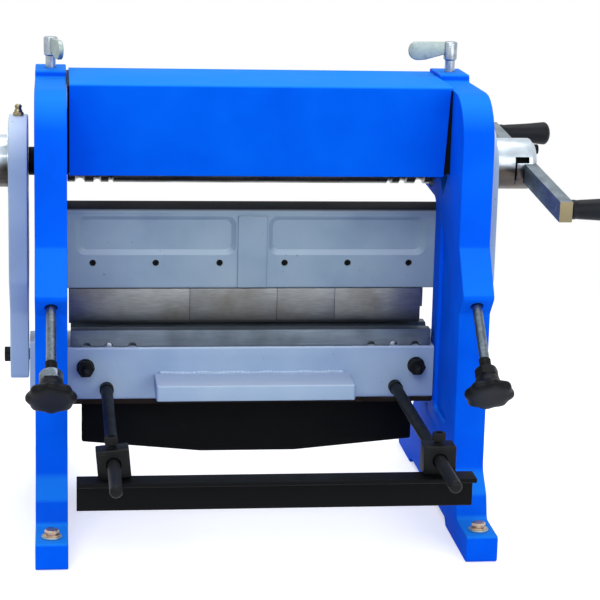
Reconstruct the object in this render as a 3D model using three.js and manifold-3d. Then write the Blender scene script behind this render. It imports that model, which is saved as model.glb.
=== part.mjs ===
// Combination sheet metal machine for the bench: shear, press brake and slip roll.
// Millimetres, +Z up. X runs along the rolls. Y runs from the gauge side to the far side.
// The pieces are drawn about the axis of the pinch rolls, and moved to the origin at the end.
import * as THREE from 'three';
import { mergeVertices } from 'three/addons/utils/BufferGeometryUtils.js';
import Module from 'manifold-3d';

const wasm = await Module();
wasm.setup();

// Clearances shared by all the pieces
const seatGap = 0.3;
const runGap = 0.4;
const overrun = 2;
const weld = 1e-4;
const fineSides = 28;
const sides = 20;
const boltSides = 12;

// Machine
const frameGap = 320;
const frameThick = 26;
const rollHeight = 292;
const sheetThick = 1;

const frameInX = frameGap / 2;
const frameOutX = frameInX + frameThick;
const frameMidX = frameInX + frameThick / 2;

// Side frames, as distances ahead of and behind the roll axis, and above and below it
const footFrontY = -218;
const footRearY = 111;
const footTopZ = 22;
const padRise = 6;
const frontPadLength = 88;
const rearPadLength = 62;
const footLedgeLength = 44;
const instepRise = 19;
const instepLength = 29;
const instepSlope = 17;
const browY = -137;
const columnRearY = -31;
const headDepth = 30;
const headAbove = 75;
const headBelow = 26;
const browBelow = 47;
const lugHalf = 25;
const lugRise = 6;
const heelSlopeY = 30;
const heelSlopeLength = 42;
const frameBevel = 1.5;
const shoulderRadius = 40;
const shelfBelowBed = 8.6;
const padCorner = 3;
const heelCorner = 6;
const heelFlow = 20;
const shelfFlow = 14;
const shelfCorner = 6;
const throatCorner = 12;
const headUnderCorner = 5;
const headCorner = 4;
const lugCorner = 3;
const lugFlow = 2.5;
const browCorner = 8;
const shinFlow = 12;
const instepFlow = 8;
const ledgeCorner = 5;

const headTopZ = rollHeight + headAbove;
const headUnderZ = rollHeight - headBelow;
const lugTopZ = headTopZ + lugRise;

// Drive roll and its bushes
const rollRadius = 18;
const rollEndGap = 1;
const rollChamfer = 1;
const journalRadius = 11;
const bushWall = 3;
const grooveCentres = [148.4, 133.5, 121.7];
const grooveRadii = [4.2, 3.2, 2.2];
const grooveDepthShare = 0.8;

// Upper roll and the blocks that carry it
const rollGap = 1;
const stubRadius = 8;
const blockHalfY = 12;
const blockHalfZ = 13;
const blockDown = 0.7;
const blockUp = 2.3;
const pocketDepth = 22;
const upperRollZ = rollHeight + 2 * rollRadius + rollGap;

// Gear pair that turns the upper roll
const gearTeeth = 18;
const gearModule = 2;
const gearWidth = 7;
const gearBacklash = 0.35;
const gearPressure = THREE.MathUtils.degToRad(20);
const gearRootShare = 1.25;
const gearPitchRadius = gearTeeth * gearModule / 2;
const gearTipRadius = gearPitchRadius + gearModule;
const gearPocketDepth = gearWidth + 2 * runGap;

// Bending roll, on a screw that slopes up from the front at each side
const screwSlope = THREE.MathUtils.degToRad(43);
const bendY = -42;
const bendAbove = 14.2;
const bendBlockHalf = 12;
const bendBack = 8;
const bendOut = 22;
const screwRadius = 5;
const knobReach = 242;
const screwNutAcross = 16;
const screwNutHeight = 8;
const knobLobes = 5;
const knobMeanRadius = 18;
const knobLobeRise = 2.6;
const knobThick = 15;
const knobEdge = 2.5;
const knobPoints = 40;
const neckLength = 9;
const neckRadius = 11;
const neckFlare = 4;
const neckCone = 2;
const screwLugReach = 157;
const screwLugHalf = 11;
const screwLugLean = 4;
const bendZ = rollHeight + bendAbove;
const slopeY = Math.cos(screwSlope);
const slopeZ = Math.sin(screwSlope);

// Cover over the rolls
const coverFrontY = -88;
const coverRearY = 27;
const coverAbove = 78;
const coverSkirt = 75.5;
const coverRearSkirt = 16;
const coverSheet = 2;
const coverBend = 4;
const coverZ = rollHeight + coverAbove;

// Upper beam, with the brake fingers under its front and the shear blade behind
const beamBelowHead = 10;
const beamHeight = 70;
const beamRearY = 13;
const beamTopZ = headUnderZ - beamBelowHead;
const beamBottomZ = beamTopZ - beamHeight;
const beamFrontY = columnRearY + seatGap;
const panelWidth = 138;
const panelHeight = 34;
const panelDepth = 5;
const panelDraft = 4;
const panelMidAbove = 46.5;
const ribHalf = 14;
const screwHoleAbove = 22.5;
const screwHoleRadius = 2.7;
const screwHoleX = [28.3, 83.6, 137.7];
const legFrontY = -5;
const legDrop = 23;
const legEndGap = 4;
const beamBoltAbove = 35;
const beamEdge = 2;
const legCorner = 3;
const beamRearCorner = 6;
const beamTopCorner = 5;
const panelCorner = 8;

// Brake fingers
const fingerWidths = [101.6, 76.2, 50.8, 76.2];
const fingerStartX = -155.2;
const fingerDrop = 31.3;
const fingerDepth = 12.7;
const fingerNose = 2.2;
const fingerFrontAngle = THREE.MathUtils.degToRad(30);
const fingerRearAngle = THREE.MathUtils.degToRad(43);
const tangDepth = 6;
const tangHeight = 28;
const tangSetback = 5.7;
const fingerTipRound = 0.4;
const fingerTopZ = beamBottomZ - seatGap;
const fingerTipZ = fingerTopZ - fingerDrop;
const fingerTipY = beamFrontY + fingerNose;

// Blades of the shear
const bladeThick = 8;
const bladeLength = 305;
const bladeRake = 6;
const upperBladeHeight = 50;
const lowerBladeHeight = 30;
const shearLap = -1;

// Crank, eccentric and the stroke of the bed
const throwRadius = 7;
const crankSwing = THREE.MathUtils.degToRad(75);
const liftShare = 0.8;
const bedTravel = throwRadius * liftShare * crankSwing;
const linkGap = 6.5;
const linkThick = 16;
const eccentricRadius = 30;
const hubRadius = 22.5;
const hubChamfer = 4;
const hubEndX = 251;
const barThick = 11.3;
const barHeight = 17.7;
const barReach = 150;
const barDrop = 4.5;
const barTilt = THREE.MathUtils.degToRad(4.3);
const gripLength = 49.5;
const gripInset = 8.812;
const gripSmall = 8;
const gripMiddle = 9.4;
const gripLarge = 10.8;
const spindleRadius = 4;
const linkInX = frameOutX + linkGap;
const linkOutX = linkInX + linkThick;
const windowTopShare = 0.4;
const windowWidthShare = 0.55;
const windowFloorShare = 0.7;
const windowLowShare = 0.16;
const slitWidthShare = 0.07;
const slitFloorShare = 0.6;
const slitLowShare = 0.72;

// Links, as distances from the middle of the eccentric
const strapHalf = 52;
const strapTop = 40;
const strapBottom = 95;
const strapCorner = 7;
const shankHalf = 18;
const shankCorner = 5;
const linkBend = 12;
const linkEdge = 1;
const nippleStem = 2.5;
const nippleProfile = [
  [seatGap, 4.6], [3, 4.6], [3.6, 3.2], [6.4, 2.6], [7.4, 3.4], [8.8, 3.4], [10, 2.2], [10, 0],
];

// Bed that the links lift, with its die
const dieOpen = 1.5;
const dieHeight = 14.6;
const dieEndGap = 3.5;
const dieHalfX = frameInX - dieEndGap;
const dieFrontY = -47.7;
const dieRearY = -9;
const dieTopZ = fingerTipZ - dieOpen;
const bedTopZ = dieTopZ - dieHeight - seatGap;
const bedHeight = 46;
const bedBottomZ = bedTopZ - bedHeight;
const bedFrontY = -50;
const bedRearCorner = 3;
const bedLowEdge = 2;
const bedTopEdge = 1.5;
const pinBelowTop = 16;
const pinRadius = 5;
const pinHeadRadius = 6.5;
const pinHeadHeight = 5;
const pinZ = bedTopZ - pinBelowTop;
const linkLength = rollHeight - pinZ;
const shelfZ = bedBottomZ - bedTravel - shelfBelowBed;
const dieScrewX = [104, 124, 143];
const dieScrewRadius = 3.4;

// Work rest, studs and stiffener on the bed
const restHalfX = 85;
const restDepth = 41.7;
const restHeight = 13.5;
const restBelowTop = 23;
const restLowEdge = 1;
const restTopEdge = 2;
const studX = 144;
const studBelowTop = 17;
const studRadius = 3;
const studReach = 20;
const studWasherRadius = 7.8;
const studWasherThick = 1.5;
const studNutAcross = 12.6;
const studNutHeight = 6;
const stiffenerHalfX = 147;
const stiffenerFlatX = 42;
const stiffenerThick = 8;
const stiffenerRearY = -12;
const stiffenerEndDrop = 46.7;
const stiffenerMidDrop = 56.5;

// Gauge on its two rods
const gaugeRodX = 126;
const gaugeRodRadius = 5;
const gaugeRodBelowTop = 36;
const gaugeRodFrontY = -330;
const gaugeRodSeat = 15;
const gaugeRodChamfer = 1;
const gaugeBlockHalfX = 12.7;
const gaugeBlockHalfY = 9;
const gaugeBlockHalfZ = 11.5;
const gaugeY = -256;
const gaugeScrewRadius = 3;
const gaugeScrewHeadRadius = 5.2;
const gaugeScrewHeadHeight = 6;
const gaugeScrewHex = 4.8;
const angleHalfX = 154;
const angleFlange = 20;
const angleLeg = 27.5;
const angleRearOffset = 2;
const angleThick = 4;
const angleEdge = 1.5;
const angleCorner = 3;
const gaugeRodZ = bedTopZ - gaugeRodBelowTop;

// Fasteners
const footBoltInset = 17;
const footWasherRadius = 7.5;
const footWasherThick = 1.5;
const footHexAcross = 10.5;
const footHexHeight = 5;
const footShankRadius = 3;
const beamBoltRadius = 6;
const beamBoltDepth = 15;
const beamHeadAcross = 18;
const beamHeadHeight = 7.5;

// Clamp levers over the upper roll
const clampRadius = 4.5;
const clampRise = 11;
const clampHubRadius = 6;
const clampHubHeight = 15;
const clampArm = 37;
const clampArmEndRadius = 8.4;
const clampArmThick = 5;
const clampArmRound = 6.72;
const clampArmFlow = 3;
const clampArmFoot = 4;
const clampArmLowShare = 1.9;
const clampHubCone = 3;
const clampHubEdge = 1;
const leftClampTurn = THREE.MathUtils.degToRad(-75);
const rightClampTurn = THREE.MathUtils.degToRad(180);

// Materials
const paint = (color, roughness) => new THREE.MeshStandardMaterial({ color, roughness, metalness: 0 });
const metal = (color, roughness) => new THREE.MeshStandardMaterial({ color, roughness, metalness: 1 });
const bluePaint = paint(0x0a5cf0, 0.35);
const greyPaint = paint(0x9fb2d2, 0.5);
const blackPlastic = paint(0x17191c, 0.45);
const blackSteel = paint(0x1d2023, 0.4);
const groundSteel = metal(0x85857f, 0.35);
const turnedSteel = metal(0x9a9a96, 0.28);
const zincPlate = metal(0xc3cad4, 0.25);
const yellowZinc = metal(0xc79a55, 0.3);
const bronze = metal(0xa9783f, 0.4);

// A closed solid from any three.js geometry, turned the right way out
function solid(geometry) {
  const bare = geometry.clone();
  bare.deleteAttribute('normal');
  bare.deleteAttribute('uv');
  const merged = mergeVertices(bare, weld);
  const points = merged.attributes.position.array;
  const corners = [];
  for (let i = 0; i < merged.index.count; i += 3) {
    const [a, b, c] = merged.index.array.slice(i, i + 3);
    if (a !== b && b !== c && c !== a) corners.push(a, b, c);
  }
  let volume = 0;
  const at = (i) => new THREE.Vector3().fromArray(points, 3 * i);
  for (let i = 0; i < corners.length; i += 3) {
    volume += at(corners[i]).dot(at(corners[i + 1]).cross(at(corners[i + 2])));
  }
  if (volume < 0) corners.reverse();
  return new wasm.Manifold(new wasm.Mesh({
    numProp: 3,
    vertProperties: new Float32Array(points),
    triVerts: new Uint32Array(corners),
  }));
}

const join = (...pieces) => pieces.reduce((whole, piece) => whole.add(piece));
const cut = (whole, ...tools) => tools.reduce((rest, tool) => rest.subtract(tool), whole);

function box(x0, x1, y0, y1, z0, z1) {
  const geometry = new THREE.BoxGeometry(x1 - x0, y1 - y0, z1 - z0);
  geometry.translate((x0 + x1) / 2, (y0 + y1) / 2, (z0 + z1) / 2);
  return solid(geometry);
}

// Round bars along each axis, given by their ends and the place of their centre line
function roundX(radius, x0, x1, y = 0, z = 0, count = sides) {
  const geometry = new THREE.CylinderGeometry(radius, radius, x1 - x0, count);
  geometry.rotateZ(Math.PI / 2).translate((x0 + x1) / 2, y, z);
  return solid(geometry);
}

function roundY(radius, y0, y1, x = 0, z = 0, count = sides) {
  const geometry = new THREE.CylinderGeometry(radius, radius, y1 - y0, count);
  geometry.translate(x, (y0 + y1) / 2, z);
  return solid(geometry);
}

function roundZ(radius, z0, z1, x = 0, y = 0, count = sides) {
  const geometry = new THREE.CylinderGeometry(radius, radius, z1 - z0, count);
  geometry.rotateX(Math.PI / 2).translate(x, y, (z0 + z1) / 2);
  return solid(geometry);
}

// A profile of [place along the axis, radius] turned about X or Z
function turnedX(profile, count = sides) {
  const geometry = new THREE.LatheGeometry(profile.map(([x, r]) => new THREE.Vector2(r, x)), count);
  geometry.rotateZ(-Math.PI / 2);
  return solid(geometry);
}

function turnedZ(profile, count = sides) {
  const geometry = new THREE.LatheGeometry(profile.map(([z, r]) => new THREE.Vector2(r, z)), count);
  geometry.rotateX(Math.PI / 2);
  return solid(geometry);
}

// An outline of corners, each [across, up, fillet radius]
function outline(corners) {
  const shape = new THREE.Shape();
  corners.forEach(([x, y, radius = 0], i) => {
    const corner = new THREE.Vector2(x, y);
    const [lastX, lastY] = corners[(i + corners.length - 1) % corners.length];
    const [nextX, nextY] = corners[(i + 1) % corners.length];
    const back = new THREE.Vector2(lastX, lastY).sub(corner).normalize();
    const on = new THREE.Vector2(nextX, nextY).sub(corner).normalize();
    const half = Math.acos(THREE.MathUtils.clamp(back.dot(on), -1, 1)) / 2;
    const reach = radius / Math.tan(half);
    const start = corner.clone().addScaledVector(back, reach);
    const end = corner.clone().addScaledVector(on, reach);
    if (i === 0) shape.moveTo(start.x, start.y);
    else shape.lineTo(start.x, start.y);
    if (radius > 0) shape.quadraticCurveTo(corner.x, corner.y, end.x, end.y);
  });
  shape.closePath();
  return shape;
}

function extruded(shape, depth, bevel, curveSegments) {
  return new THREE.ExtrudeGeometry(shape, {
    depth: depth - 2 * bevel,
    curveSegments,
    bevelEnabled: bevel > 0,
    bevelThickness: bevel,
    bevelSize: bevel,
    bevelOffset: -bevel,
    bevelSegments: 1,
  }).translate(0, 0, bevel);
}

const axisX = new THREE.Vector3(1, 0, 0);
const axisY = new THREE.Vector3(0, 1, 0);
const axisZ = new THREE.Vector3(0, 0, 1);

// A prism along X of an outline in Y and Z, along Y of one in X and Z, or along Z of one in X and Y
function prismX(shape, x0, x1, bevel = 0, curveSegments = 4) {
  const geometry = extruded(shape, x1 - x0, bevel, curveSegments).translate(0, 0, x0);
  return solid(geometry.applyMatrix4(new THREE.Matrix4().makeBasis(axisY, axisZ, axisX)));
}

function prismY(shape, y0, y1, bevel = 0, curveSegments = 4) {
  const geometry = extruded(shape, y1 - y0, bevel, curveSegments).translate(0, 0, -y1);
  return solid(geometry.applyMatrix4(new THREE.Matrix4().makeBasis(axisX, axisZ, axisY.clone().negate())));
}

function prismZ(shape, z0, z1, bevel = 0, curveSegments = 4) {
  return solid(extruded(shape, z1 - z0, bevel, curveSegments).translate(0, 0, z0));
}

function hexagon(across) {
  const radius = across / Math.sqrt(3);
  const corner = (i) => [radius * Math.cos(i * Math.PI / 3), radius * Math.sin(i * Math.PI / 3)];
  return outline([0, 1, 2, 3, 4, 5].map(corner));
}

// The geometry of a solid, moved by a matrix and mirrored to the left where side is -1
function placed(piece, matrix) {
  const mesh = piece.getMesh();
  const geometry = new THREE.BufferGeometry();
  geometry.setAttribute('position', new THREE.BufferAttribute(new Float32Array(mesh.vertProperties), 3));
  geometry.setIndex(new THREE.BufferAttribute(new Uint32Array(mesh.triVerts), 1));
  return matrix ? geometry.applyMatrix4(matrix) : geometry;
}

const mirrored = (piece) => solid(placed(piece, new THREE.Matrix4().makeScale(-1, 1, 1)));
const sided = (piece, side) => (side < 0 ? mirrored(piece) : piece);

const machine = new THREE.Group();

function add(name, piece, material, parent = machine) {
  const geometry = placed(piece).toNonIndexed();
  geometry.computeVertexNormals();
  const mesh = new THREE.Mesh(geometry, material);
  mesh.name = name;
  parent.add(mesh);
  return mesh;
}

function group(y, z, parent = machine) {
  const made = new THREE.Group();
  made.position.set(0, y, z);
  parent.add(made);
  return made;
}

const twoSides = [['left', -1], ['right', 1]];

// Outline of a side frame in Y and Z, from the front foot along the base and round
function frameOutline() {
  const lugY = bendY - slopeY * screwLugReach;
  const lugZ = bendZ - slopeZ * screwLugReach;
  const ledgeY = footFrontY + footLedgeLength;
  const instepZ = footTopZ + instepRise;
  const shinY = lugY + slopeZ * screwLugHalf;
  const frontPadY = footFrontY + frontPadLength;
  const rearPadY = footRearY - rearPadLength;
  return outline([
    [footFrontY, 0, padCorner],
    [frontPadY, 0],
    [frontPadY + padRise, padRise],
    [rearPadY - padRise, padRise],
    [rearPadY, 0],
    [footRearY, 0, padCorner],
    [footRearY, footTopZ, heelCorner],
    [heelSlopeY + heelSlopeLength, footTopZ, heelFlow],
    [heelSlopeY, shelfZ, shelfFlow],
    [columnRearY, shelfZ, shelfCorner],
    [columnRearY, headUnderZ, throatCorner],
    [headDepth, headUnderZ + padRise / 2, headUnderCorner],
    [headDepth, headTopZ, headCorner],
    [lugHalf, headTopZ],
    [lugHalf, lugTopZ, lugCorner],
    [-lugHalf, lugTopZ, lugCorner],
    [-lugHalf, headTopZ, lugFlow],
    [browY, headTopZ, shoulderRadius],
    [browY, rollHeight - browBelow, browCorner],
    [lugY - slopeZ * screwLugHalf, lugZ + slopeY * screwLugHalf, screwLugLean],
    [shinY, lugZ - slopeY * screwLugHalf, screwLugLean],
    [shinY - padRise / 6, instepZ + instepSlope, shinFlow],
    [ledgeY + padRise, instepZ, instepFlow],
    [ledgeY, footTopZ, ledgeCorner],
    [footFrontY, footTopZ, padCorner],
  ]);
}

// A box that lies along the sloping screw, from its centre on the bending roll
function slopingBox(x0, x1, back, out, half) {
  const geometry = new THREE.BoxGeometry(x1 - x0, back - out, 2 * half);
  geometry.translate((x0 + x1) / 2, (back + out) / 2, 0);
  geometry.rotateX(screwSlope).translate(0, bendY, bendZ);
  return solid(geometry);
}

function slopingRod(radius, from, to, x, count = sides) {
  const geometry = new THREE.CylinderGeometry(radius, radius, to - from, count);
  geometry.translate(0, (from + to) / 2, 0).rotateX(screwSlope).translate(x, bendY, bendZ);
  return solid(geometry);
}

// Shallow relief on the inner side of the column, pointed at the top
function innerRelief() {
  const reliefRearY = columnRearY - frameThick;
  const reliefFrontY = browY + frameThick + runGap;
  const reliefTopZ = rollHeight - browBelow;
  return prismX(outline([
    [reliefRearY, reliefTopZ + padRise],
    [reliefRearY, shelfZ],
    [reliefFrontY, shelfZ],
    [reliefFrontY, reliefTopZ - frameThick],
  ]), frameInX - overrun, frameInX + frameBevel * 2);
}

function sideFrame(side) {
  const bushBore = journalRadius + runGap + bushWall + seatGap;
  const pocketX = frameInX + pocketDepth;
  const pocketUp = upperRollZ + blockHalfZ + blockUp + 3 * runGap;
  const pocketDown = upperRollZ - blockHalfZ - blockDown - 2 * runGap;
  const slotOut = -bendOut - bendBlockHalf - runGap;
  const slotIn = bendBack + bendBlockHalf + runGap;
  const holeFrontY = footFrontY + footBoltInset;
  const holeRearY = footRearY - footBoltInset;
  const footHole = footShankRadius + runGap;
  const tools = [
    innerRelief(),
    roundX(bushBore, frameInX - overrun, frameOutX + overrun, 0, rollHeight, fineSides),
    box(frameInX - overrun, pocketX, -blockHalfY - seatGap, blockHalfY + seatGap, pocketDown, pocketUp),
    slopingBox(frameInX - overrun, pocketX, slotIn, slotOut, bendBlockHalf + seatGap),
    slopingRod(screwRadius + seatGap, -screwLugReach - overrun * 2, slotOut + overrun, frameMidX),
    roundZ(clampRadius + seatGap, pocketUp - overrun, lugTopZ + overrun, frameMidX, 0),
    roundZ(footHole, -overrun, footTopZ + overrun, frameMidX, holeFrontY, boltSides),
    roundZ(footHole, -overrun, footTopZ + padRise, frameMidX, holeRearY, boltSides),
    roundY(beamBoltRadius + seatGap, columnRearY - beamBoltDepth - overrun, columnRearY + overrun,
      frameMidX, beamBottomZ + beamBoltAbove, boltSides),
  ];
  if (side > 0) {
    const pocketRadius = gearTipRadius + 3 * runGap;
    const floor = frameInX + gearPocketDepth;
    const stroke = blockUp + blockDown;
    const strokeMidZ = upperRollZ + (blockUp - blockDown) / 2;
    tools.push(roundX(pocketRadius, frameInX - overrun, floor, 0, rollHeight, fineSides));
    tools.push(roundX(pocketRadius + stroke / 2, frameInX - overrun, floor, 0, strokeMidZ, fineSides));
  }
  const body = prismX(frameOutline(), frameInX, frameOutX, frameBevel, 3);
  return sided(cut(body, ...tools), side);
}

for (const [name, side] of twoSides) {
  add(`${name}_frame`, sideFrame(side), bluePaint);
}

// Foot bolts with their washers, two to a frame
for (const [name, side] of twoSides) {
  const places = [['front', footFrontY + footBoltInset], ['rear', footRearY - footBoltInset]];
  for (const [end, y] of places) {
    const washerZ = footTopZ + seatGap;
    const headZ = washerZ + footWasherThick;
    const bolt = join(
      roundZ(footShankRadius, footWasherThick, headZ, 0, 0, boltSides),
      roundZ(footWasherRadius, washerZ, headZ, 0, 0, sides),
      prismZ(hexagon(footHexAcross), headZ - weld, headZ + footHexHeight, 0),
    );
    const mesh = add(`${name}_${end}_foot_bolt`, bolt, yellowZinc);
    mesh.position.set(side * frameMidX, y, 0);
  }
}

// Bent sheet cover over the rolls
function coverOutline() {
  const inside = coverBend - coverSheet;
  const skirtZ = coverZ - coverSkirt;
  return outline([
    [coverFrontY, skirtZ],
    [coverFrontY + coverSheet, skirtZ],
    [coverFrontY + coverSheet, coverZ - coverSheet, inside],
    [coverRearY - coverSheet, coverZ - coverSheet, inside],
    [coverRearY - coverSheet, coverZ - coverRearSkirt],
    [coverRearY, coverZ - coverRearSkirt],
    [coverRearY, coverZ, coverBend],
    [coverFrontY, coverZ, coverBend],
  ]);
}
add('roll_cover', prismX(coverOutline(), -frameInX + seatGap, frameInX - seatGap), bluePaint);

// Upper beam with two sunk panels, a slot for the finger tangs and a seat for the blade
function upperBeam() {
  const halfX = frameOutX - seatGap;
  const blockBody = prismX(outline([
    [beamFrontY, beamBottomZ, beamEdge],
    [legFrontY, beamBottomZ, legCorner],
    [legFrontY, beamBottomZ - legDrop],
    [beamRearY - bladeThick - seatGap, beamBottomZ - legDrop],
    [beamRearY - bladeThick - seatGap, beamBottomZ - legDrop + upperBladeHeight],
    [beamRearY, beamBottomZ - legDrop + upperBladeHeight],
    [beamRearY, beamTopZ, beamRearCorner],
    [beamFrontY, beamTopZ, beamTopCorner],
  ]), -halfX, halfX);
  const legTrim = (side) => box(
    Math.min(side * (halfX + overrun), side * (frameInX - legEndGap)),
    Math.max(side * (halfX + overrun), side * (frameInX - legEndGap)),
    legFrontY - overrun, beamRearY + overrun,
    beamBottomZ - legDrop - overrun, beamBottomZ,
  );
  const panelMidZ = beamBottomZ + panelMidAbove;
  const panel = (side) => {
    const x0 = side > 0 ? ribHalf : -ribHalf - panelWidth;
    const shape = outline([
      [x0, panelMidZ - panelHeight / 2, panelCorner],
      [x0 + panelWidth, panelMidZ - panelHeight / 2, panelCorner],
      [x0 + panelWidth, panelMidZ + panelHeight / 2, panelCorner],
      [x0, panelMidZ + panelHeight / 2, panelCorner],
    ]);
    const geometry = new THREE.ExtrudeGeometry(shape, {
      depth: overrun,
      curveSegments: 3,
      bevelThickness: panelDepth,
      bevelSize: panelDraft,
      bevelOffset: -panelDraft,
      bevelSegments: 1,
    });
    geometry.translate(0, 0, -beamFrontY);
    return solid(geometry.applyMatrix4(new THREE.Matrix4().makeBasis(axisX, axisZ, axisY.clone().negate())));
  };
  const slotY = beamFrontY + tangSetback - seatGap;
  const tangSlot = box(fingerStartX - overrun, -fingerStartX + overrun,
    slotY, slotY + tangDepth + 2 * seatGap, beamBottomZ - overrun, beamBottomZ + tangHeight);
  const screwHoles = screwHoleX.flatMap((x) => [-x, x]).map((x) => roundY(
    screwHoleRadius, beamFrontY - overrun, slotY + overrun, x, beamBottomZ + screwHoleAbove, boltSides));
  const boltHoles = [-1, 1].map((side) => roundY(beamBoltRadius + seatGap, beamFrontY - overrun,
    beamRearY + overrun, side * frameMidX, beamBottomZ + beamBoltAbove, boltSides));
  return cut(blockBody, legTrim(-1), legTrim(1), panel(-1), panel(1), tangSlot, ...screwHoles, ...boltHoles);
}
add('upper_beam', upperBeam(), greyPaint);

for (const [name, side] of twoSides) {
  const headY = beamRearY + seatGap;
  const shank = roundY(beamBoltRadius, columnRearY - beamBoltDepth, headY + weld, 0, 0, boltSides);
  const head = prismY(hexagon(beamHeadAcross), headY, headY + beamHeadHeight, 0);
  const mesh = add(`${name}_beam_bolt`, join(shank, head), blackSteel);
  mesh.position.set(side * frameMidX, 0, beamBottomZ + beamBoltAbove);
}

// Brake fingers, each with a tang that goes up into the beam
function finger(width) {
  const noseZ = fingerTipZ + fingerNose / Math.tan(fingerFrontAngle);
  const backY = beamFrontY + fingerDepth;
  const backZ = fingerTipZ + (backY - fingerTipY) / Math.tan(fingerRearAngle);
  const tangY = beamFrontY + tangSetback;
  return prismX(outline([
    [beamFrontY, noseZ],
    [fingerTipY, fingerTipZ, fingerTipRound],
    [backY, backZ],
    [backY, fingerTopZ],
    [tangY + tangDepth, fingerTopZ],
    [tangY + tangDepth, fingerTopZ + tangHeight],
    [tangY, fingerTopZ + tangHeight],
    [tangY, fingerTopZ],
    [beamFrontY, fingerTopZ],
  ]), 0, width, 0, 2);
}
let fingerX = fingerStartX;
fingerWidths.forEach((width, i) => {
  add(`brake_finger_${i + 1}`, finger(width - seatGap), groundSteel).position.x = fingerX;
  fingerX += width;
});

// Shear blades: the upper one is raked, the lower one is level
function upperBlade() {
  const topZ = beamBottomZ - legDrop + upperBladeHeight - seatGap;
  const edgeZ = dieTopZ - shearLap;
  const half = bladeLength / 2;
  const shape = outline([[-half, edgeZ + bladeRake], [half, edgeZ], [half, topZ], [-half, topZ]]);
  return prismY(shape, beamRearY - bladeThick, beamRearY);
}
add('upper_blade', upperBlade(), groundSteel);

// Bed: a casting between the columns that widens behind them to meet the links
function bed() {
  const bladeSeatY = beamRearY + 2 * seatGap;
  const rearY = bladeSeatY + bladeThick;
  const widePart = prismX(outline([
    [columnRearY + runGap, bedBottomZ, bedRearCorner],
    [rearY, bedBottomZ, bedRearCorner],
    [rearY, dieTopZ - lowerBladeHeight - seatGap],
    [bladeSeatY - seatGap, dieTopZ - lowerBladeHeight - seatGap],
    [bladeSeatY - seatGap, bedTopZ],
    [columnRearY + runGap, bedTopZ],
  ]), -linkInX + 2 * runGap, linkInX - 2 * runGap);
  const front = prismX(outline([
    [bedFrontY, bedBottomZ, bedLowEdge],
    [0, bedBottomZ],
    [0, bedTopZ],
    [bedFrontY, bedTopZ, bedTopEdge],
  ]), -frameInX + runGap, frameInX - runGap);
  const pinSlot = (side) => {
    const play = pinRadius + 2 * runGap;
    const inner = linkInX - 2.5 * pinRadius;
    return box(
      Math.min(side * inner, side * (linkInX + overrun)), Math.max(side * inner, side * (linkInX + overrun)),
      -throwRadius - play, -throwRadius * Math.cos(crankSwing) + play,
      pinZ - play - runGap, pinZ + play + runGap,
    );
  };
  const studHole = (side) => roundY(studRadius + seatGap, bedFrontY - overrun, bedFrontY + gaugeRodSeat,
    side * studX, bedTopZ - studBelowTop, boltSides);
  const rodHole = (side) => roundY(gaugeRodRadius + seatGap, bedFrontY - overrun,
    bedFrontY + gaugeRodSeat + seatGap, side * gaugeRodX, gaugeRodZ, boltSides);
  const tools = [-1, 1].flatMap((side) => [pinSlot(side), studHole(side), rodHole(side)]);
  return cut(join(widePart, front), ...tools);
}
add('bed', bed(), greyPaint);

// Lower die: its groove takes the finger tips at the top of the stroke with a sheet between them
function lowerDie() {
  const groove = bedTravel - dieOpen + sheetThick * Math.SQRT2;
  const body = prismX(outline([
    [dieFrontY, dieTopZ - dieHeight],
    [dieRearY, dieTopZ - dieHeight],
    [dieRearY, dieTopZ],
    [fingerTipY + groove, dieTopZ],
    [fingerTipY, dieTopZ - groove],
    [fingerTipY - groove, dieTopZ],
    [dieFrontY, dieTopZ],
  ]), -dieHalfX, dieHalfX);
  const holes = dieScrewX.flatMap((x) => [-x, x]).map((x) => roundY(dieScrewRadius,
    dieFrontY - overrun, dieFrontY + 2 * dieScrewRadius, x, dieTopZ - dieHeight + seatGap, boltSides));
  return cut(body, ...holes);
}
add('lower_die', lowerDie(), groundSteel);

function lowerBlade() {
  const frontY = beamRearY + seatGap;
  const half = bladeLength / 2;
  const bladeY = frontY + seatGap;
  return box(-half, half, bladeY, bladeY + bladeThick, dieTopZ - lowerBladeHeight, dieTopZ);
}
add('lower_blade', lowerBlade(), groundSteel);

function workRest() {
  const topZ = bedTopZ - restBelowTop;
  const rearY = bedFrontY - seatGap;
  return prismX(outline([
    [rearY - restDepth, topZ - restHeight, restLowEdge],
    [rearY, topZ - restHeight],
    [rearY, topZ],
    [rearY - restDepth, topZ, restTopEdge],
  ]), -restHalfX, restHalfX, restLowEdge, 2);
}
add('work_rest', workRest(), greyPaint);

function stiffener() {
  const topZ = bedBottomZ - seatGap;
  return prismY(outline([
    [-stiffenerHalfX, topZ],
    [-stiffenerHalfX, topZ - stiffenerEndDrop],
    [-stiffenerFlatX, topZ - stiffenerMidDrop],
    [stiffenerFlatX, topZ - stiffenerMidDrop],
    [stiffenerHalfX, topZ - stiffenerEndDrop],
    [stiffenerHalfX, topZ],
  ]), stiffenerRearY - stiffenerThick, stiffenerRearY);
}
add('stiffener_plate', stiffener(), blackSteel);

// Studs with a nut and washer near the ends of the bed
for (const [name, side] of twoSides) {
  const washerY = bedFrontY - seatGap;
  const nutY = washerY - studWasherThick;
  const endY = bedFrontY - studReach;
  const stud = join(
    roundY(studRadius, endY, bedFrontY + gaugeRodSeat - studRadius, 0, 0, boltSides),
    roundY(studWasherRadius, nutY, washerY, 0, 0, sides),
    prismY(hexagon(studNutAcross), nutY - studNutHeight, nutY + weld, 0),
  );
  const mesh = add(`${name}_bed_stud`, stud, blackSteel);
  mesh.position.set(side * studX, 0, bedTopZ - studBelowTop);
}

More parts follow.
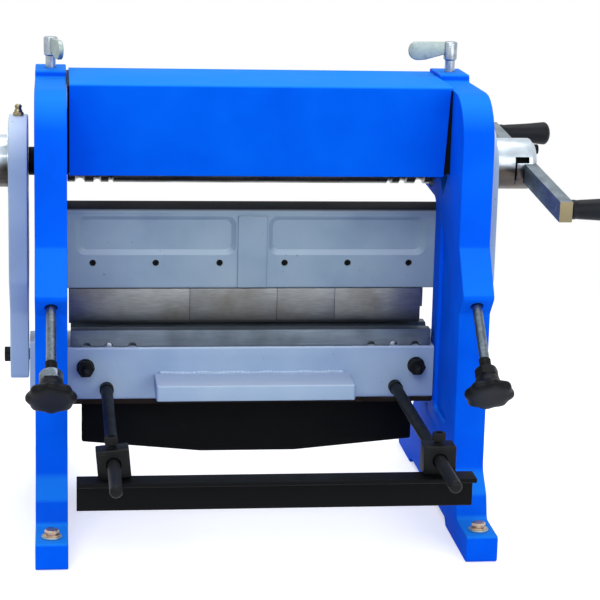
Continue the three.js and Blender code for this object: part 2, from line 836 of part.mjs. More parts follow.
// Gauge rods, fixed in the bed, with a chamfered front end
for (const [name, side] of twoSides) {
  const rearY = bedFrontY + gaugeRodSeat;
  const rodPiece = turnedX([
    [gaugeRodFrontY, 0],
    [gaugeRodFrontY, gaugeRodRadius - gaugeRodChamfer],
    [gaugeRodFrontY + gaugeRodChamfer, gaugeRodRadius],
    [rearY, gaugeRodRadius],
    [rearY, 0],
  ], boltSides);
  const mesh = add(`${name}_gauge_rod`, rodPiece, blackSteel);
  mesh.position.set(side * gaugeRodX, 0, gaugeRodZ);
  mesh.rotation.z = Math.PI / 2;
}

// Gauge: two blocks that slide on the rods, each with its locking screw, and the angle between them
const gauge = group(gaugeY, gaugeRodZ);
for (const [name, side] of twoSides) {
  const blockBody = box(-gaugeBlockHalfX, gaugeBlockHalfX, -gaugeBlockHalfY, gaugeBlockHalfY,
    -gaugeBlockHalfZ, gaugeBlockHalfZ);
  const block = cut(
    blockBody,
    roundY(gaugeRodRadius + runGap, -gaugeBlockHalfY - overrun, gaugeBlockHalfY + overrun, 0, 0, boltSides),
    roundZ(gaugeScrewRadius + seatGap, 0, gaugeBlockHalfZ + overrun, 0, 0, boltSides),
  );
  add(`${name}_gauge_block`, block, blackSteel, gauge).position.x = side * gaugeRodX;
  const capZ = gaugeBlockHalfZ + gaugeScrewRadius;
  const screw = cut(
    join(
      roundZ(gaugeScrewRadius, gaugeRodRadius + seatGap, capZ + weld, 0, 0, boltSides),
      roundZ(gaugeScrewHeadRadius, capZ, capZ + gaugeScrewHeadHeight, 0, 0, boltSides),
    ),
    prismZ(hexagon(gaugeScrewHex), capZ + gaugeScrewHeadHeight / 2,
      capZ + gaugeScrewHeadHeight + overrun, 0),
  );
  add(`${name}_gauge_screw`, screw, blackSteel, gauge).position.x = side * gaugeRodX;
}

function gaugeAngle() {
  const topZ = -gaugeBlockHalfZ - seatGap;
  const legY = angleRearOffset - angleThick;
  return prismX(outline([
    [angleRearOffset - angleFlange, topZ - angleThick, angleEdge],
    [legY, topZ - angleThick, angleCorner],
    [legY, topZ - angleLeg, angleEdge],
    [angleRearOffset, topZ - angleLeg],
    [angleRearOffset, topZ],
    [angleRearOffset - angleFlange, topZ],
  ]), -angleHalfX, angleHalfX, 0, 3);
}
add('gauge_angle', gaugeAngle(), blackSteel, gauge);

// Drive roll: wire grooves at both ends, and journals that run on to the crank hubs
const crank = group(0, rollHeight);
function rollBody(radius, stub, stubEnds, grooves) {
  const end = frameInX - rollEndGap;
  return turnedX([
    [-stubEnds, 0],
    [-stubEnds, stub],
    [-end, stub],
    [-end, radius - rollChamfer],
    [-end + rollChamfer, radius],
    ...grooves,
    [end - rollChamfer, radius],
    [end, radius - rollChamfer],
    [end, stub],
    [stubEnds, stub],
    [stubEnds, 0],
  ], fineSides);
}

// Round-bottomed grooves as steps of a profile, from left to right
function grooveProfile(radius) {
  const steps = 3;
  const oneGroove = (x, r) => Array.from({ length: steps + 1 }, (_, i) => {
    const angle = Math.PI * i / steps;
    return [x - r * Math.cos(angle), radius - r * grooveDepthShare * Math.sin(angle)];
  });
  const left = grooveCentres.map((x, i) => oneGroove(-x, grooveRadii[i]));
  const right = grooveCentres.map((x, i) => oneGroove(x, grooveRadii[i])).reverse();
  return [...left, ...right].flat();
}
const shaftEndX = hubEndX - barThick - 2 * seatGap;
const driveGrooves = grooveProfile(rollRadius);
add('drive_roll', rollBody(rollRadius, journalRadius, shaftEndX, driveGrooves), turnedSteel, crank);

for (const [name, side] of twoSides) {
  const startX = side > 0 ? frameInX + gearPocketDepth + runGap : frameInX + seatGap;
  const endX = frameOutX - seatGap;
  const bush = cut(
    roundX(journalRadius + runGap + bushWall, startX, endX, 0, 0, fineSides),
    roundX(journalRadius + runGap, startX - overrun, endX + overrun, 0, 0, fineSides),
  );
  add(`${name}_bush`, sided(bush, side), bronze).position.z = rollHeight;
}

// Involute spur gear in Y and Z; the first tooth stands at the angle start
function gearShape(start) {
  const base = gearPitchRadius * Math.cos(gearPressure);
  const root = gearPitchRadius - gearRootShare * gearModule;
  const involute = (angle) => Math.tan(angle) - angle;
  const halfAt = (radius) => Math.PI / (2 * gearTeeth) - gearBacklash / (2 * gearPitchRadius)
    + involute(gearPressure) - involute(Math.acos(Math.min(1, base / radius)));
  const flank = [base, gearTipRadius];
  const corners = [];
  for (let tooth = 0; tooth < gearTeeth; tooth += 1) {
    const middle = start + tooth * 2 * Math.PI / gearTeeth;
    const at = (radius, angle) => [radius * Math.cos(middle + angle), radius * Math.sin(middle + angle)];
    corners.push(at(root, -halfAt(base)));
    flank.forEach((radius) => corners.push(at(radius, -halfAt(radius))));
    [...flank].reverse().forEach((radius) => corners.push(at(radius, halfAt(radius))));
    corners.push(at(root, halfAt(base)));
  }
  return outline(corners);
}

function gear(start, bore) {
  const gearX = frameInX + runGap;
  const body = prismX(gearShape(start), gearX, gearX + gearWidth, 0);
  return cut(body, roundX(bore, gearX - overrun, gearX + gearWidth + overrun, 0, 0, sides));
}
add('drive_gear', gear(Math.PI / 2, journalRadius + seatGap), groundSteel, crank);

// Crank hubs: an eccentric for the link, then a drum with a split clamp and a slot for the bar
function barBox(margin) {
  const geometry = new THREE.BoxGeometry(barThick + 2 * margin, 2 * barReach, barHeight + 2 * margin);
  geometry.translate(hubEndX - barThick / 2, 0, -barDrop).rotateX(barTilt);
  return solid(geometry);
}

function crankHub() {
  const drum = turnedX([
    [linkOutX + runGap, 0],
    [linkOutX + runGap, hubRadius],
    [hubEndX - hubChamfer, hubRadius],
    [hubEndX, hubRadius - hubChamfer],
    [hubEndX, 0],
  ], fineSides);
  const eccentric = roundX(eccentricRadius, linkInX, linkOutX + 2 * runGap, -throwRadius, 0, fineSides);
  const bore = roundX(journalRadius + seatGap, linkInX - overrun, shaftEndX + seatGap, 0, 0, fineSides);
  const windowX = linkOutX + hubRadius;
  const windowTopZ = hubRadius * windowTopShare;
  const window = box(windowX, windowX + windowWidthShare * hubRadius, -hubRadius - overrun,
    -windowFloorShare * hubRadius, hubRadius * windowLowShare, windowTopZ);
  const slit = box(windowX, windowX + slitWidthShare * hubRadius, -hubRadius - overrun,
    -slitFloorShare * hubRadius, -hubRadius * slitLowShare, windowTopZ);
  return cut(join(drum, eccentric), bore, barBox(seatGap), window, slit);
}

// Double-armed bar with a spindle at each end for the grips
function crankBar() {
  const gripY = barReach - gripInset;
  const spindles = [-1, 1].map((end) => {
    const length = gripLength - gripSmall;
    const geometry = new THREE.CylinderGeometry(spindleRadius, spindleRadius, length, boltSides);
    geometry.rotateZ(Math.PI / 2).translate(hubEndX - weld + length / 2, end * gripY, -barDrop);
    return solid(geometry.rotateX(barTilt));
  });
  return join(barBox(0), ...spindles);
}

function grip() {
  const start = hubEndX + seatGap;
  const bore = spindleRadius + runGap;
  const boreEnd = hubEndX + gripLength - gripSmall + runGap;
  const end = start + gripLength;
  const dome = gripLarge / 2;
  const domeSteps = [0, 1, 2, 3, 4].map((i) => {
    const angle = i * Math.PI / 8;
    return [end - dome + dome * Math.sin(angle), (gripLarge - dome) + dome * Math.cos(angle)];
  });
  return turnedX([
    [boreEnd, 0],
    [boreEnd, bore],
    [start, bore],
    [start, gripSmall - rollChamfer],
    [start + rollChamfer, gripSmall],
    [start + gripLength / 3, gripMiddle],
    ...domeSteps,
    [end, 0],
  ], sides);
}

for (const [name, side] of twoSides) {
  add(`${name}_crank_hub`, sided(crankHub(), side), zincPlate, crank);
  add(`${name}_crank_bar`, sided(crankBar(), side), groundSteel, crank);
  for (const [end, way] of [['front', -1], ['rear', 1]]) {
    const y = way * (barReach - gripInset);
    const place = new THREE.Vector3(0, y, -barDrop).applyAxisAngle(axisX, barTilt);
    add(`${name}_${end}_grip`, sided(grip(), side), blackPlastic, crank).position.copy(place);
  }
}

// Links: a wide strap round the eccentric and a narrow shank down to the pin in the bed
function linkOutline() {
  const shankBottom = -linkLength - shankHalf;
  const shoulder = strapHalf - shankHalf;
  return outline([
    [-strapHalf, strapTop, strapCorner],
    [strapHalf, strapTop, strapCorner],
    [strapHalf, -strapBottom, linkBend],
    [shankHalf, -strapBottom - shoulder, linkBend],
    [shankHalf, shankBottom, shankCorner],
    [-shankHalf, shankBottom, shankCorner],
    [-shankHalf, -strapBottom - shoulder, linkBend],
    [-strapHalf, -strapBottom, linkBend],
  ]);
}

for (const [name, side] of twoSides) {
  const link = group(-throwRadius, 0, crank);
  const linkMidX = linkInX + linkThick / 2;
  const plate = cut(
    prismX(linkOutline(), linkInX, linkOutX, linkEdge),
    roundX(eccentricRadius + runGap, linkInX - overrun, linkOutX + overrun, 0, 0, fineSides),
    roundX(pinRadius + seatGap, linkInX - overrun, linkOutX + overrun, 0, -linkLength, sides),
    roundZ(nippleStem + seatGap, strapTop - 3 * nippleStem, strapTop + overrun, linkMidX, 0, boltSides),
  );
  add(`${name}_link`, sided(plate, side), greyPaint, link);
  const nipple = turnedZ([
    [-2 * nippleStem, 0], [-2 * nippleStem, nippleStem], [seatGap, nippleStem], ...nippleProfile,
  ], boltSides);
  const nippleMesh = add(`${name}_grease_nipple`, nipple, yellowZinc, link);
  nippleMesh.position.set(side * linkMidX, 0, strapTop);
  const headX = linkOutX + seatGap;
  const bolt = cut(
    join(
      roundX(pinRadius, linkInX - 2 * pinRadius, headX + weld, 0, 0, sides),
      roundX(pinHeadRadius, headX, headX + pinHeadHeight, 0, 0, sides),
    ),
    prismX(hexagon(pinHeadRadius), headX + pinHeadHeight / 2, headX + pinHeadHeight + overrun, 0),
  );
  add(`${name}_link_bolt`, sided(bolt, side), blackSteel, link).position.z = -linkLength;
}

// Upper roll with its gear, blocks and clamp levers
const upperCarriage = group(0, upperRollZ);
const stubEndX = frameInX + pocketDepth - runGap;
add('upper_roll', rollBody(rollRadius, stubRadius, stubEndX, []), turnedSteel, upperCarriage);
const upperGear = gear(-Math.PI / 2 + Math.PI / gearTeeth, stubRadius + seatGap);
add('upper_gear', upperGear, groundSteel, upperCarriage);

for (const [name, side] of twoSides) {
  const startX = side > 0 ? frameInX + gearPocketDepth + runGap : frameInX + seatGap;
  const endX = frameInX + pocketDepth - seatGap;
  const block = cut(
    box(startX, endX, -blockHalfY, blockHalfY, -blockHalfZ, blockHalfZ),
    roundX(stubRadius + runGap, startX - overrun, endX + overrun, 0, 0, sides),
  );
  add(`${name}_upper_bearing`, sided(block, side), bronze, upperCarriage);
}

function clampLever() {
  const lowZ = blockHalfZ + seatGap;
  const hubZ = lugTopZ - upperRollZ + clampRise;
  const topZ = hubZ + clampHubHeight;
  const stem = turnedZ([
    [lowZ, 0], [lowZ, clampRadius], [hubZ - clampHubCone, clampRadius], [hubZ, clampHubRadius],
    [topZ - clampHubEdge, clampHubRadius], [topZ, clampHubRadius - clampHubEdge], [topZ, 0],
  ], sides);
  const endX = clampArm - clampArmEndRadius;
  const arm = prismY(outline([
    [0, hubZ + clampArmFoot],
    [endX, topZ - 2 * clampArmEndRadius, clampArmFlow],
    [clampArm, topZ - clampArmLowShare * clampArmEndRadius, clampArmRound],
    [clampArm, topZ, clampArmRound],
    [0, topZ - clampHubEdge],
  ]), -clampArmThick / 2, clampArmThick / 2, clampHubEdge);
  return join(stem, arm);
}
for (const [name, side] of twoSides) {
  const mesh = add(`${name}_clamp_lever`, clampLever(), zincPlate, upperCarriage);
  mesh.position.x = side * frameMidX;
  mesh.rotation.z = side > 0 ? rightClampTurn : leftClampTurn;
}

// Bending roll with its blocks, screws and star knobs, drawn along the slope
const bendCarriage = group(bendY, bendZ);
bendCarriage.rotation.x = screwSlope;
add('bending_roll', rollBody(rollRadius, stubRadius, stubEndX, []), turnedSteel, bendCarriage);

function starKnob() {
  const length = knobThick + neckLength;
  const shape = new THREE.Shape();
  for (let i = 0; i < knobPoints; i += 1) {
    const angle = 2 * Math.PI * i / knobPoints;
    const radius = knobMeanRadius + knobLobeRise * Math.cos(knobLobes * angle);
    const [x, y] = [radius * Math.cos(angle), radius * Math.sin(angle)];
    if (i === 0) shape.moveTo(x, y);
    else shape.lineTo(x, y);
  }
  shape.closePath();
  const star = prismZ(shape, 0, knobThick, knobEdge, 1);
  const neck = turnedZ([
    [knobThick - neckCone, 0], [knobThick - neckCone, neckRadius + neckFlare],
    [knobThick + neckCone, neckRadius], [length, neckRadius], [length, 0],
  ], sides);
  const bore = roundZ(screwRadius + seatGap, knobThick / 2, length + overrun, 0, 0, sides);
  return cut(join(star, neck), bore);
}

const alongSlope = new THREE.Euler(-Math.PI / 2, 0, 0);
for (const [name, side] of twoSides) {
  const startX = frameInX + seatGap;
  const endX = frameInX + pocketDepth - seatGap;
  const half = bendBlockHalf;
  const block = cut(
    box(startX, endX, -half, half, -half, half),
    roundX(stubRadius + runGap, startX - overrun, endX + overrun, 0, 0, sides),
  );
  add(`${name}_bending_bearing`, sided(block, side), bronze, bendCarriage);
  const faceY = -knobReach - knobThick / 2;
  const knobMesh = add(`${name}_star_knob`, starKnob(), blackPlastic, bendCarriage);
  knobMesh.position.set(side * frameMidX, faceY, 0);
  knobMesh.rotation.copy(alongSlope);
  const nutY = faceY + knobThick + neckLength + seatGap;
  const screw = join(
    roundY(screwRadius, faceY + knobThick / 2 + seatGap, -half - seatGap, 0, 0, sides),
    prismY(hexagon(screwNutAcross), nutY, nutY + screwNutHeight, 0),
  );
  add(`${name}_adjusting_screw`, screw, turnedSteel, bendCarriage).position.x = side * frameMidX;
}

// Stand the machine on the bench with its box centred on the origin
const bounds = new THREE.Box3().setFromObject(machine);
const centre = bounds.getCenter(new THREE.Vector3());
machine.position.set(-centre.x, -centre.y, -bounds.min.z);

export default machine;
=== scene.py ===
import math

import bmesh
import bpy
from mathutils import Matrix, Vector


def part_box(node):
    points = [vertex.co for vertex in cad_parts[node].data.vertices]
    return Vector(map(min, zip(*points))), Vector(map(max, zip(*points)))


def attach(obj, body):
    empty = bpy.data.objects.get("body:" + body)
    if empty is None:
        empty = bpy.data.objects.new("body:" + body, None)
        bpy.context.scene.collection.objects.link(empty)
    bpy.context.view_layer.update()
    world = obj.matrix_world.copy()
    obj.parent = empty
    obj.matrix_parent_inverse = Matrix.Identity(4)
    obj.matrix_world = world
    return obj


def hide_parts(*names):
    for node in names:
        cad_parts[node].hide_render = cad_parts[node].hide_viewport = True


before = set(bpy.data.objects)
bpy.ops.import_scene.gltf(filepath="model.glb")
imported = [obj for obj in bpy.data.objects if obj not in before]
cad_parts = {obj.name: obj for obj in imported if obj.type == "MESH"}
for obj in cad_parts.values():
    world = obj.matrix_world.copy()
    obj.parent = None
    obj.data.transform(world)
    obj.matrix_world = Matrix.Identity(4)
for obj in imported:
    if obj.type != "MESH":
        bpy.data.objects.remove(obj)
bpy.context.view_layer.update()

# The pieces are drawn in millimetres about the drive roll's axis, with the bench at zero,
# and turned into metres in the frame's place by to_frame.
MM = 0.001
SIDES = (("left", -1), ("right", 1))
ENDS = (("front", -1), ("rear", 1))

roll_low, roll_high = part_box("drive_roll")
roll_y = (roll_low.y + roll_high.y) / 2 / MM
roll_z = (roll_low.z + roll_high.z) / 2 / MM
drive_end = roll_high.x / MM
to_frame = Matrix.Scale(MM, 4) @ Matrix.Translation((0, roll_y, 0))


def node_box(node):
    """Lowest and highest corner of a CAD node in millimetres, about the drive roll's axis."""
    low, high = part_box(node)
    shift = Vector((0, roll_y, 0))
    return low / MM - shift, high / MM - shift


# Ways to make a mesh. A tool stands past the faces that it cuts, and a piece keeps a gap to its seat.
over = 2
seat_gap = 0.3
same_point = 1e-5
least_radius = 1e-3
sharp_angle = math.radians(38)
arc_steps = 7

# Facets round a turned piece, more on the ones that show large
roll_facets = 96
bore_facets = 64
grip_facets = 56
rod_facets = 48
washer_facets = 40
screw_facets = 32
stem_facets = 24
PLACES = {
    "X": lambda across, up, along: (along, across, up),
    "Y": lambda across, up, along: (across, along, up),
    "Z": lambda across, up, along: (across, up, along),
}


def outline(corners, steps=arc_steps):
    """Points of a closed outline of (across, up, fillet radius) corners, each fillet a true arc."""
    points = []
    for i, (across, up, *rest) in enumerate(corners):
        here = Vector((across, up))
        radius = rest[0] if rest else 0
        if not radius:
            points.append(here)
            continue
        back = (Vector(corners[i - 1][:2]) - here).normalized()
        on = (Vector(corners[(i + 1) % len(corners)][:2]) - here).normalized()
        half = back.angle(on) / 2
        centre = here + (back + on).normalized() * radius / math.sin(half)
        start = here + back * radius / math.tan(half) - centre
        end = here + on * radius / math.tan(half) - centre
        sweep = math.atan2(start.cross(end), start.dot(end))
        for k in range(steps + 1):
            points.append(centre + Matrix.Rotation(sweep * k / steps, 2) @ start)
    return points


def oblong(x0, y0, x1, y1, radius=0):
    """Corners of a rectangle that all have one fillet radius."""
    return [(x0, y0, radius), (x1, y0, radius), (x1, y1, radius), (x0, y1, radius)]


def in_scene(name, data):
    """A new object in the scene for a mesh, a lamp or the camera."""
    made = bpy.data.objects.new(name, data)
    bpy.context.scene.collection.objects.link(made)
    return made


def mesh_object(bm):
    mesh = bpy.data.meshes.new("piece")
    bm.to_mesh(mesh)
    bm.free()
    return in_scene("piece", mesh)


def loft(rings):
    """An object whose skin joins rings of points, with a face on each end."""
    bm = bmesh.new()
    rows = [[bm.verts.new(point) for point in ring] for ring in rings]
    for lower, upper in zip(rows, rows[1:]):
        for i in range(len(lower)):
            j = (i + 1) % len(lower)
            bm.faces.new((lower[i], lower[j], upper[j], upper[i]))
    bm.faces.new(rows[0])
    bm.faces.new(rows[-1])
    bmesh.ops.remove_doubles(bm, verts=bm.verts, dist=same_point)
    bmesh.ops.recalc_face_normals(bm, faces=bm.faces)
    return mesh_object(bm)


def prism(corners, low, high, axis="X", steps=arc_steps):
    """The outline of some corners carried along an axis from low to high."""
    place = PLACES[axis]
    points = outline(corners, steps)
    return loft([[place(p.x, p.y, along) for p in points] for along in (low, high)])


def block(low, high):
    return prism(oblong(low[0], low[1], high[0], high[1]), low[2], high[2], "Z")


def circle(radius, steps):
    turn = 2 * math.pi / steps
    return [Vector((radius * math.cos(i * turn), radius * math.sin(i * turn))) for i in range(steps)]


def hexagon(across):
    return circle(across / math.sqrt(3), 6)


def turned(profile, axis="X", at=(0, 0), steps=72):
    """A body of revolution from (place along the axis, radius) pairs about a line at a point across the axis."""
    place = PLACES[axis]
    rings = []
    for along, radius in profile:
        ring = circle(max(radius, least_radius), steps)
        rings.append([place(p.x + at[0], p.y + at[1], along) for p in ring])
    return loft(rings)


def rod(radius, low, high, axis="X", at=(0, 0), steps=rod_facets):
    return turned([(low, radius), (high, radius)], axis, at, steps)


def threaded(radius, pitch, low, high, axis="Z", at=(0, 0), steps=28):
    """A screw thread as a helical ripple in the skin of a rod, half a pitch deep."""
    place = PLACES[axis]
    rings_per_turn = 4
    count = int((high - low) / pitch * rings_per_turn)
    rings = []
    for k in range(count + 1):
        along = low + (high - low) * k / count
        ring = []
        for i in range(steps):
            turn = i / steps
            flank = abs(2 * ((along / pitch - turn) % 1) - 1)
            reach = radius - 0.5 * pitch * flank
            angle = 2 * math.pi * turn
            ring.append(place(at[0] + reach * math.cos(angle), at[1] + reach * math.sin(angle), along))
        rings.append(ring)
    return loft(rings)


def apply_modifiers(obj):
    graph = bpy.context.evaluated_depsgraph_get()
    graph.update()
    mesh = bpy.data.meshes.new_from_object(obj.evaluated_get(graph))
    old = obj.data
    obj.modifiers.clear()
    obj.data = mesh
    bpy.data.meshes.remove(old)
    return obj


def combine(obj, tools, operation):
    for tool in tools:
        step = obj.modifiers.new("step", "BOOLEAN")
        step.operation = operation
        step.solver = "EXACT"
        step.object = tool
    apply_modifiers(obj)
    for tool in tools:
        bpy.data.objects.remove(tool)
    return obj


def cut(obj, *tools):
    return combine(obj, tools, "DIFFERENCE")


def weld(obj, *tools):
    return combine(obj, tools, "UNION")


def together(*parts):
    """Several closed bodies as one object, without joining their skins."""
    bm = bmesh.new()
    for part in parts:
        part.data.transform(part.matrix_world)
        bm.from_mesh(part.data)
        bpy.data.objects.remove(part)
    return mesh_object(bm)


# Turns that lay a piece drawn upright towards the rear, the front or the right
to_rear = Matrix.Rotation(-math.pi / 2, 4, "X")
to_front = Matrix.Rotation(math.pi / 2, 4, "X")
to_side = Matrix.Rotation(math.pi / 2, 4, "Y")


def moved(obj, matrix):
    obj.data.transform(matrix)
    return obj


def shifted(obj, x=0, y=0, z=0):
    return moved(obj, Matrix.Translation((x, y, z)))


def mirrored(obj, side):
    """The object itself on the right side, and its mirror image on the left."""
    if side < 0:
        obj.data.transform(Matrix.Scale(-1, 4, (1, 0, 0)))
        obj.data.flip_normals()
    return obj


def rounded(obj, width, steps=2, angle=32):
    """Breaks the sharp edges, so that each one catches the light."""
    bevel = obj.modifiers.new("edges", "BEVEL")
    bevel.width = width
    bevel.segments = steps
    bevel.limit_method = "ANGLE"
    bevel.angle_limit = math.radians(angle)
    bevel.miter_outer = "MITER_ARC"
    return apply_modifiers(obj)


def finished(obj, name, finish, body, *replaces):
    """Puts a piece in the frame's place with its name, material and body, for the nodes that it replaces."""
    obj.name = obj.data.name = name
    obj.data.transform(to_frame)
    obj.data.shade_smooth()
    obj.data.set_sharp_from_angle(angle=sharp_angle)
    obj.data.materials.clear()
    obj.data.materials.append(finish)
    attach(obj, body)
    if replaces:
        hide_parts(*replaces)


# Camera, at the photograph's place and angle
camera_place = Vector((-169.4, -1726.0, 575.7))
camera_yaw = math.radians(7.13)
camera_pitch = math.radians(13.19)
camera_roll = math.radians(1.46)
film_width = 36
focal_share = 2007.4 / 600


def aim_camera():
    data = bpy.data.cameras.new("camera")
    data.sensor_width = film_width
    data.lens = film_width * focal_share
    data.clip_end = 20
    made = in_scene("camera", data)
    forward = Vector((
        math.sin(camera_yaw) * math.cos(camera_pitch),
        math.cos(camera_yaw) * math.cos(camera_pitch),
        -math.sin(camera_pitch),
    ))
    level = Vector((math.cos(camera_yaw), -math.sin(camera_yaw), 0))
    upright = level.cross(forward)
    right = math.cos(camera_roll) * level + math.sin(camera_roll) * upright
    up = math.cos(camera_roll) * upright - math.sin(camera_roll) * level
    turn = Matrix((right, up, -forward)).transposed().to_4x4()
    made.matrix_world = Matrix.Translation(to_frame @ camera_place) @ turn
    bpy.context.scene.camera = made


def linear(code):
    """An sRGB hex colour as linear light."""
    shares = [int(code[i:i + 2], 16) / 255 for i in (1, 3, 5)]
    return (*[s / 12.92 if s <= 0.04045 else ((s + 0.055) / 1.055) ** 2.4 for s in shares], 1)


def grey(level):
    return (level, level, level, 1)


def toned(colours, *positions):
    """Stops of a ramp that passes through the first colours, each at its position."""
    return [(position, linear(colour)) for position, colour in zip(positions, colours)]


def add(tree, kind, inputs=None, stops=(), **settings):
    """A shader node with its settings, the stops of its ramp, and its inputs.

    An input is a value, a socket to link, or a node whose first output is linked.
    """
    made = tree.nodes.new("ShaderNode" + kind)
    for name, value in settings.items():
        setattr(made, name, value)
    for name, value in (inputs or {}).items():
        if isinstance(value, bpy.types.Node):
            value = value.outputs[0]
        if isinstance(value, bpy.types.NodeSocket):
            tree.links.new(value, made.inputs[name])
        else:
            made.inputs[name].default_value = value
    for _ in stops[2:]:
        made.color_ramp.elements.new(0.5)
    for element, (position, colour) in zip(made.color_ramp.elements if stops else (), stops):
        element.position = position
        element.color = colour
    return made


# Studio: lamps at a level at which a colour renders about as it is written
FLOOR_HALF = 4
FLOOR_THICK = 0.02
LIT_RADIUS = 1.1
LAMPS = (
    ("key", (-0.7, -2.3, 1.9), (1.6, 1.2), 32),
    ("fill", (1.3, -2.1, 0.9), (1.6, 1.2), 16),
    ("top", (0.1, 0.5, 2.3), (1.8, 1.4), 24),
)
LAMP_TARGET = Vector((0, 0, 0.2))


def background_ray(tree):
    """One where the camera, a gloss or a glass looks straight at the studio, and zero for its light."""
    path = add(tree, "LightPath").outputs
    seen = add(tree, "Math", {0: path["Is Camera Ray"], 1: path["Is Glossy Ray"]}, operation="MAXIMUM")
    return add(tree, "Math", {0: seen, 1: path["Is Transmission Ray"]}, operation="MAXIMUM")


def build_stage():
    """A white floor, a white surround for the camera and for gloss, and three soft lamps."""
    bpy.context.scene.view_settings.view_transform = "Standard"
    world = bpy.data.worlds.new("studio")
    world.use_nodes = True
    tree = world.node_tree
    tree.nodes.clear()
    lit = add(tree, "Background", {"Color": linear("#F4F6FA"), "Strength": 0.62})
    white = add(tree, "Background", {"Color": grey(1), "Strength": 1.0})
    mix = add(tree, "MixShader", {0: background_ray(tree), 1: lit, 2: white})
    add(tree, "OutputWorld", {"Surface": mix})
    bpy.context.scene.world = world
    floor = prism(oblong(-FLOOR_HALF, -FLOOR_HALF, FLOOR_HALF, FLOOR_HALF), -FLOOR_THICK, 0, "Z")
    floor.name = "studio_floor"
    floor.data.materials.append(paper_white())
    for name, place, size, power in LAMPS:
        lamp = bpy.data.lights.new(name, "AREA")
        lamp.shape = "RECTANGLE"
        lamp.size, lamp.size_y = size
        lamp.energy = power
        made = in_scene(name, lamp)
        made.rotation_euler = (LAMP_TARGET - Vector(place)).to_track_quat("-Z", "Y").to_euler()
        made.location = place


def start_material(name):
    """An empty material, its nodes, and a piece's own axes for its patterns to lie in."""
    made = bpy.data.materials.new(name)
    made.use_nodes = True
    tree = made.node_tree
    tree.nodes.clear()
    return made, tree, add(tree, "TexCoord").outputs["Object"]


def paper_white():
    """Studio paper: white to the camera and in a gloss, with the machine's shadow kept around its feet."""
    made, tree, place = start_material("studio_paper")
    paper = add(tree, "BsdfDiffuse", {"Color": linear("#F2F3F5")})
    glow = add(tree, "Emission", {"Color": grey(1), "Strength": 0.45})
    lifted = add(tree, "AddShader", {0: paper, 1: glow})
    far = add(tree, "Emission", {"Color": grey(1), "Strength": 1.0})
    near = add(tree, "Mapping", {"Vector": place, "Scale": (1 / LIT_RADIUS, 1 / LIT_RADIUS, 1)})
    fade = add(tree, "TexGradient", {"Vector": near}, gradient_type="QUADRATIC_SPHERE").outputs["Fac"]
    share = add(tree, "ValToRGB", {"Fac": fade}, stops=[(0.0, grey(0)), (0.35, grey(1))])
    around = add(tree, "MixShader", {0: share, 1: far, 2: lifted})
    mix = add(tree, "MixShader", {0: background_ray(tree), 1: paper, 2: around})
    add(tree, "OutputMaterial", {"Surface": mix})
    return made


def per_mm(*sizes):
    """Scale of a pattern whose grains are so many millimetres long."""
    scales = tuple(1 / (size * MM) for size in sizes)
    return scales if len(scales) > 1 else scales[0]


def facing(tree, direction, start, full):
    """How far a face looks along a direction in the piece's own axes, from 0 at the start to 1 at full."""
    normal = add(tree, "TexCoord").outputs["Normal"]
    along = add(tree, "VectorMath", {0: normal, 1: direction}, operation="DOT_PRODUCT").outputs["Value"]
    return add(tree, "MapRange", {"Value": along, "From Min": start, "From Max": full})


def enamel(name, colours, roughness, gloss, cast, painted_top_light, chips=1.0, dark_top_above=None):
    """Sprayed enamel: on cast iron the sand's unevenness shows through, on sheet only orange peel.

    Faces that look up are lighter, as painted top light, small chips show dark, and faces that look up above a
    given height may be drawn dark and duller.
    Moulding sand is under a millimetre, too fine to show here, so its grain is drawn 5.5 mm long.
    """
    made, tree, place = start_material(name)
    cloud = add(tree, "TexNoise", {"Vector": place, "Scale": per_mm(55), "Detail": 3})
    peel = add(tree, "TexNoise", {"Vector": place, "Scale": per_mm(1.6), "Detail": 2})
    sand = add(tree, "TexNoise", {"Vector": place, "Scale": per_mm(5.5), "Detail": 5})
    tint = add(tree, "ValToRGB", {"Fac": cloud}, stops=toned(colours, 0.3, 0.5, 0.72))
    sheen = add(tree, "ValToRGB", {"Fac": cloud}, stops=[
        (0.35, grey(roughness - 0.05)), (0.7, grey(roughness + 0.08))])
    fine = add(tree, "Bump", {"Height": peel, "Strength": 0.06, "Distance": 0.0004})
    coarse = add(tree, "Bump", {"Height": sand, "Strength": cast, "Distance": 0.0007, "Normal": fine})
    # Painted top light: faces that look up are mixed towards a paler colour
    top_light_share = facing(tree, (0, 0, 1), 0.3, 0.85)
    colour = add(tree, "Mix", {0: top_light_share, 6: tint, 7: linear(painted_top_light)}, data_type="RGBA").outputs[2]
    nick = add(tree, "TexNoise", {"Vector": place, "Scale": per_mm(3.5), "Detail": 4})
    chipped = add(tree, "ValToRGB", {"Fac": nick}, stops=[(chips - 0.02, grey(0)), (chips, grey(0.55))])
    colour = add(tree, "Mix", {0: chipped, 6: colour, 7: linear("#3A4048")}, data_type="RGBA").outputs[2]
    # Faces that look up above the given height are drawn dark and duller
    if dark_top_above:
        height = add(tree, "SeparateXYZ", {0: place}).outputs["Z"]
        level = add(tree, "MapRange", {
            "Value": height, "From Min": (dark_top_above - 1) * MM, "From Max": dark_top_above * MM})
        flat = facing(tree, (0, 0, 1), 0.5, 0.9)
        dark_top = add(tree, "Math", {0: level, 1: flat}, operation="MULTIPLY")
        colour = add(tree, "Mix", {0: dark_top, 6: colour, 7: linear("#33343A")}, data_type="RGBA").outputs[2]
        sheen = add(tree, "Math", {0: dark_top, 1: 0.4, 2: sheen}, operation="MULTIPLY_ADD")
    shader = add(tree, "BsdfPrincipled", {
        "Base Color": colour, "Roughness": sheen, "Normal": coarse, "Specular IOR Level": gloss})
    add(tree, "OutputMaterial", {"Surface": shader})
    return made


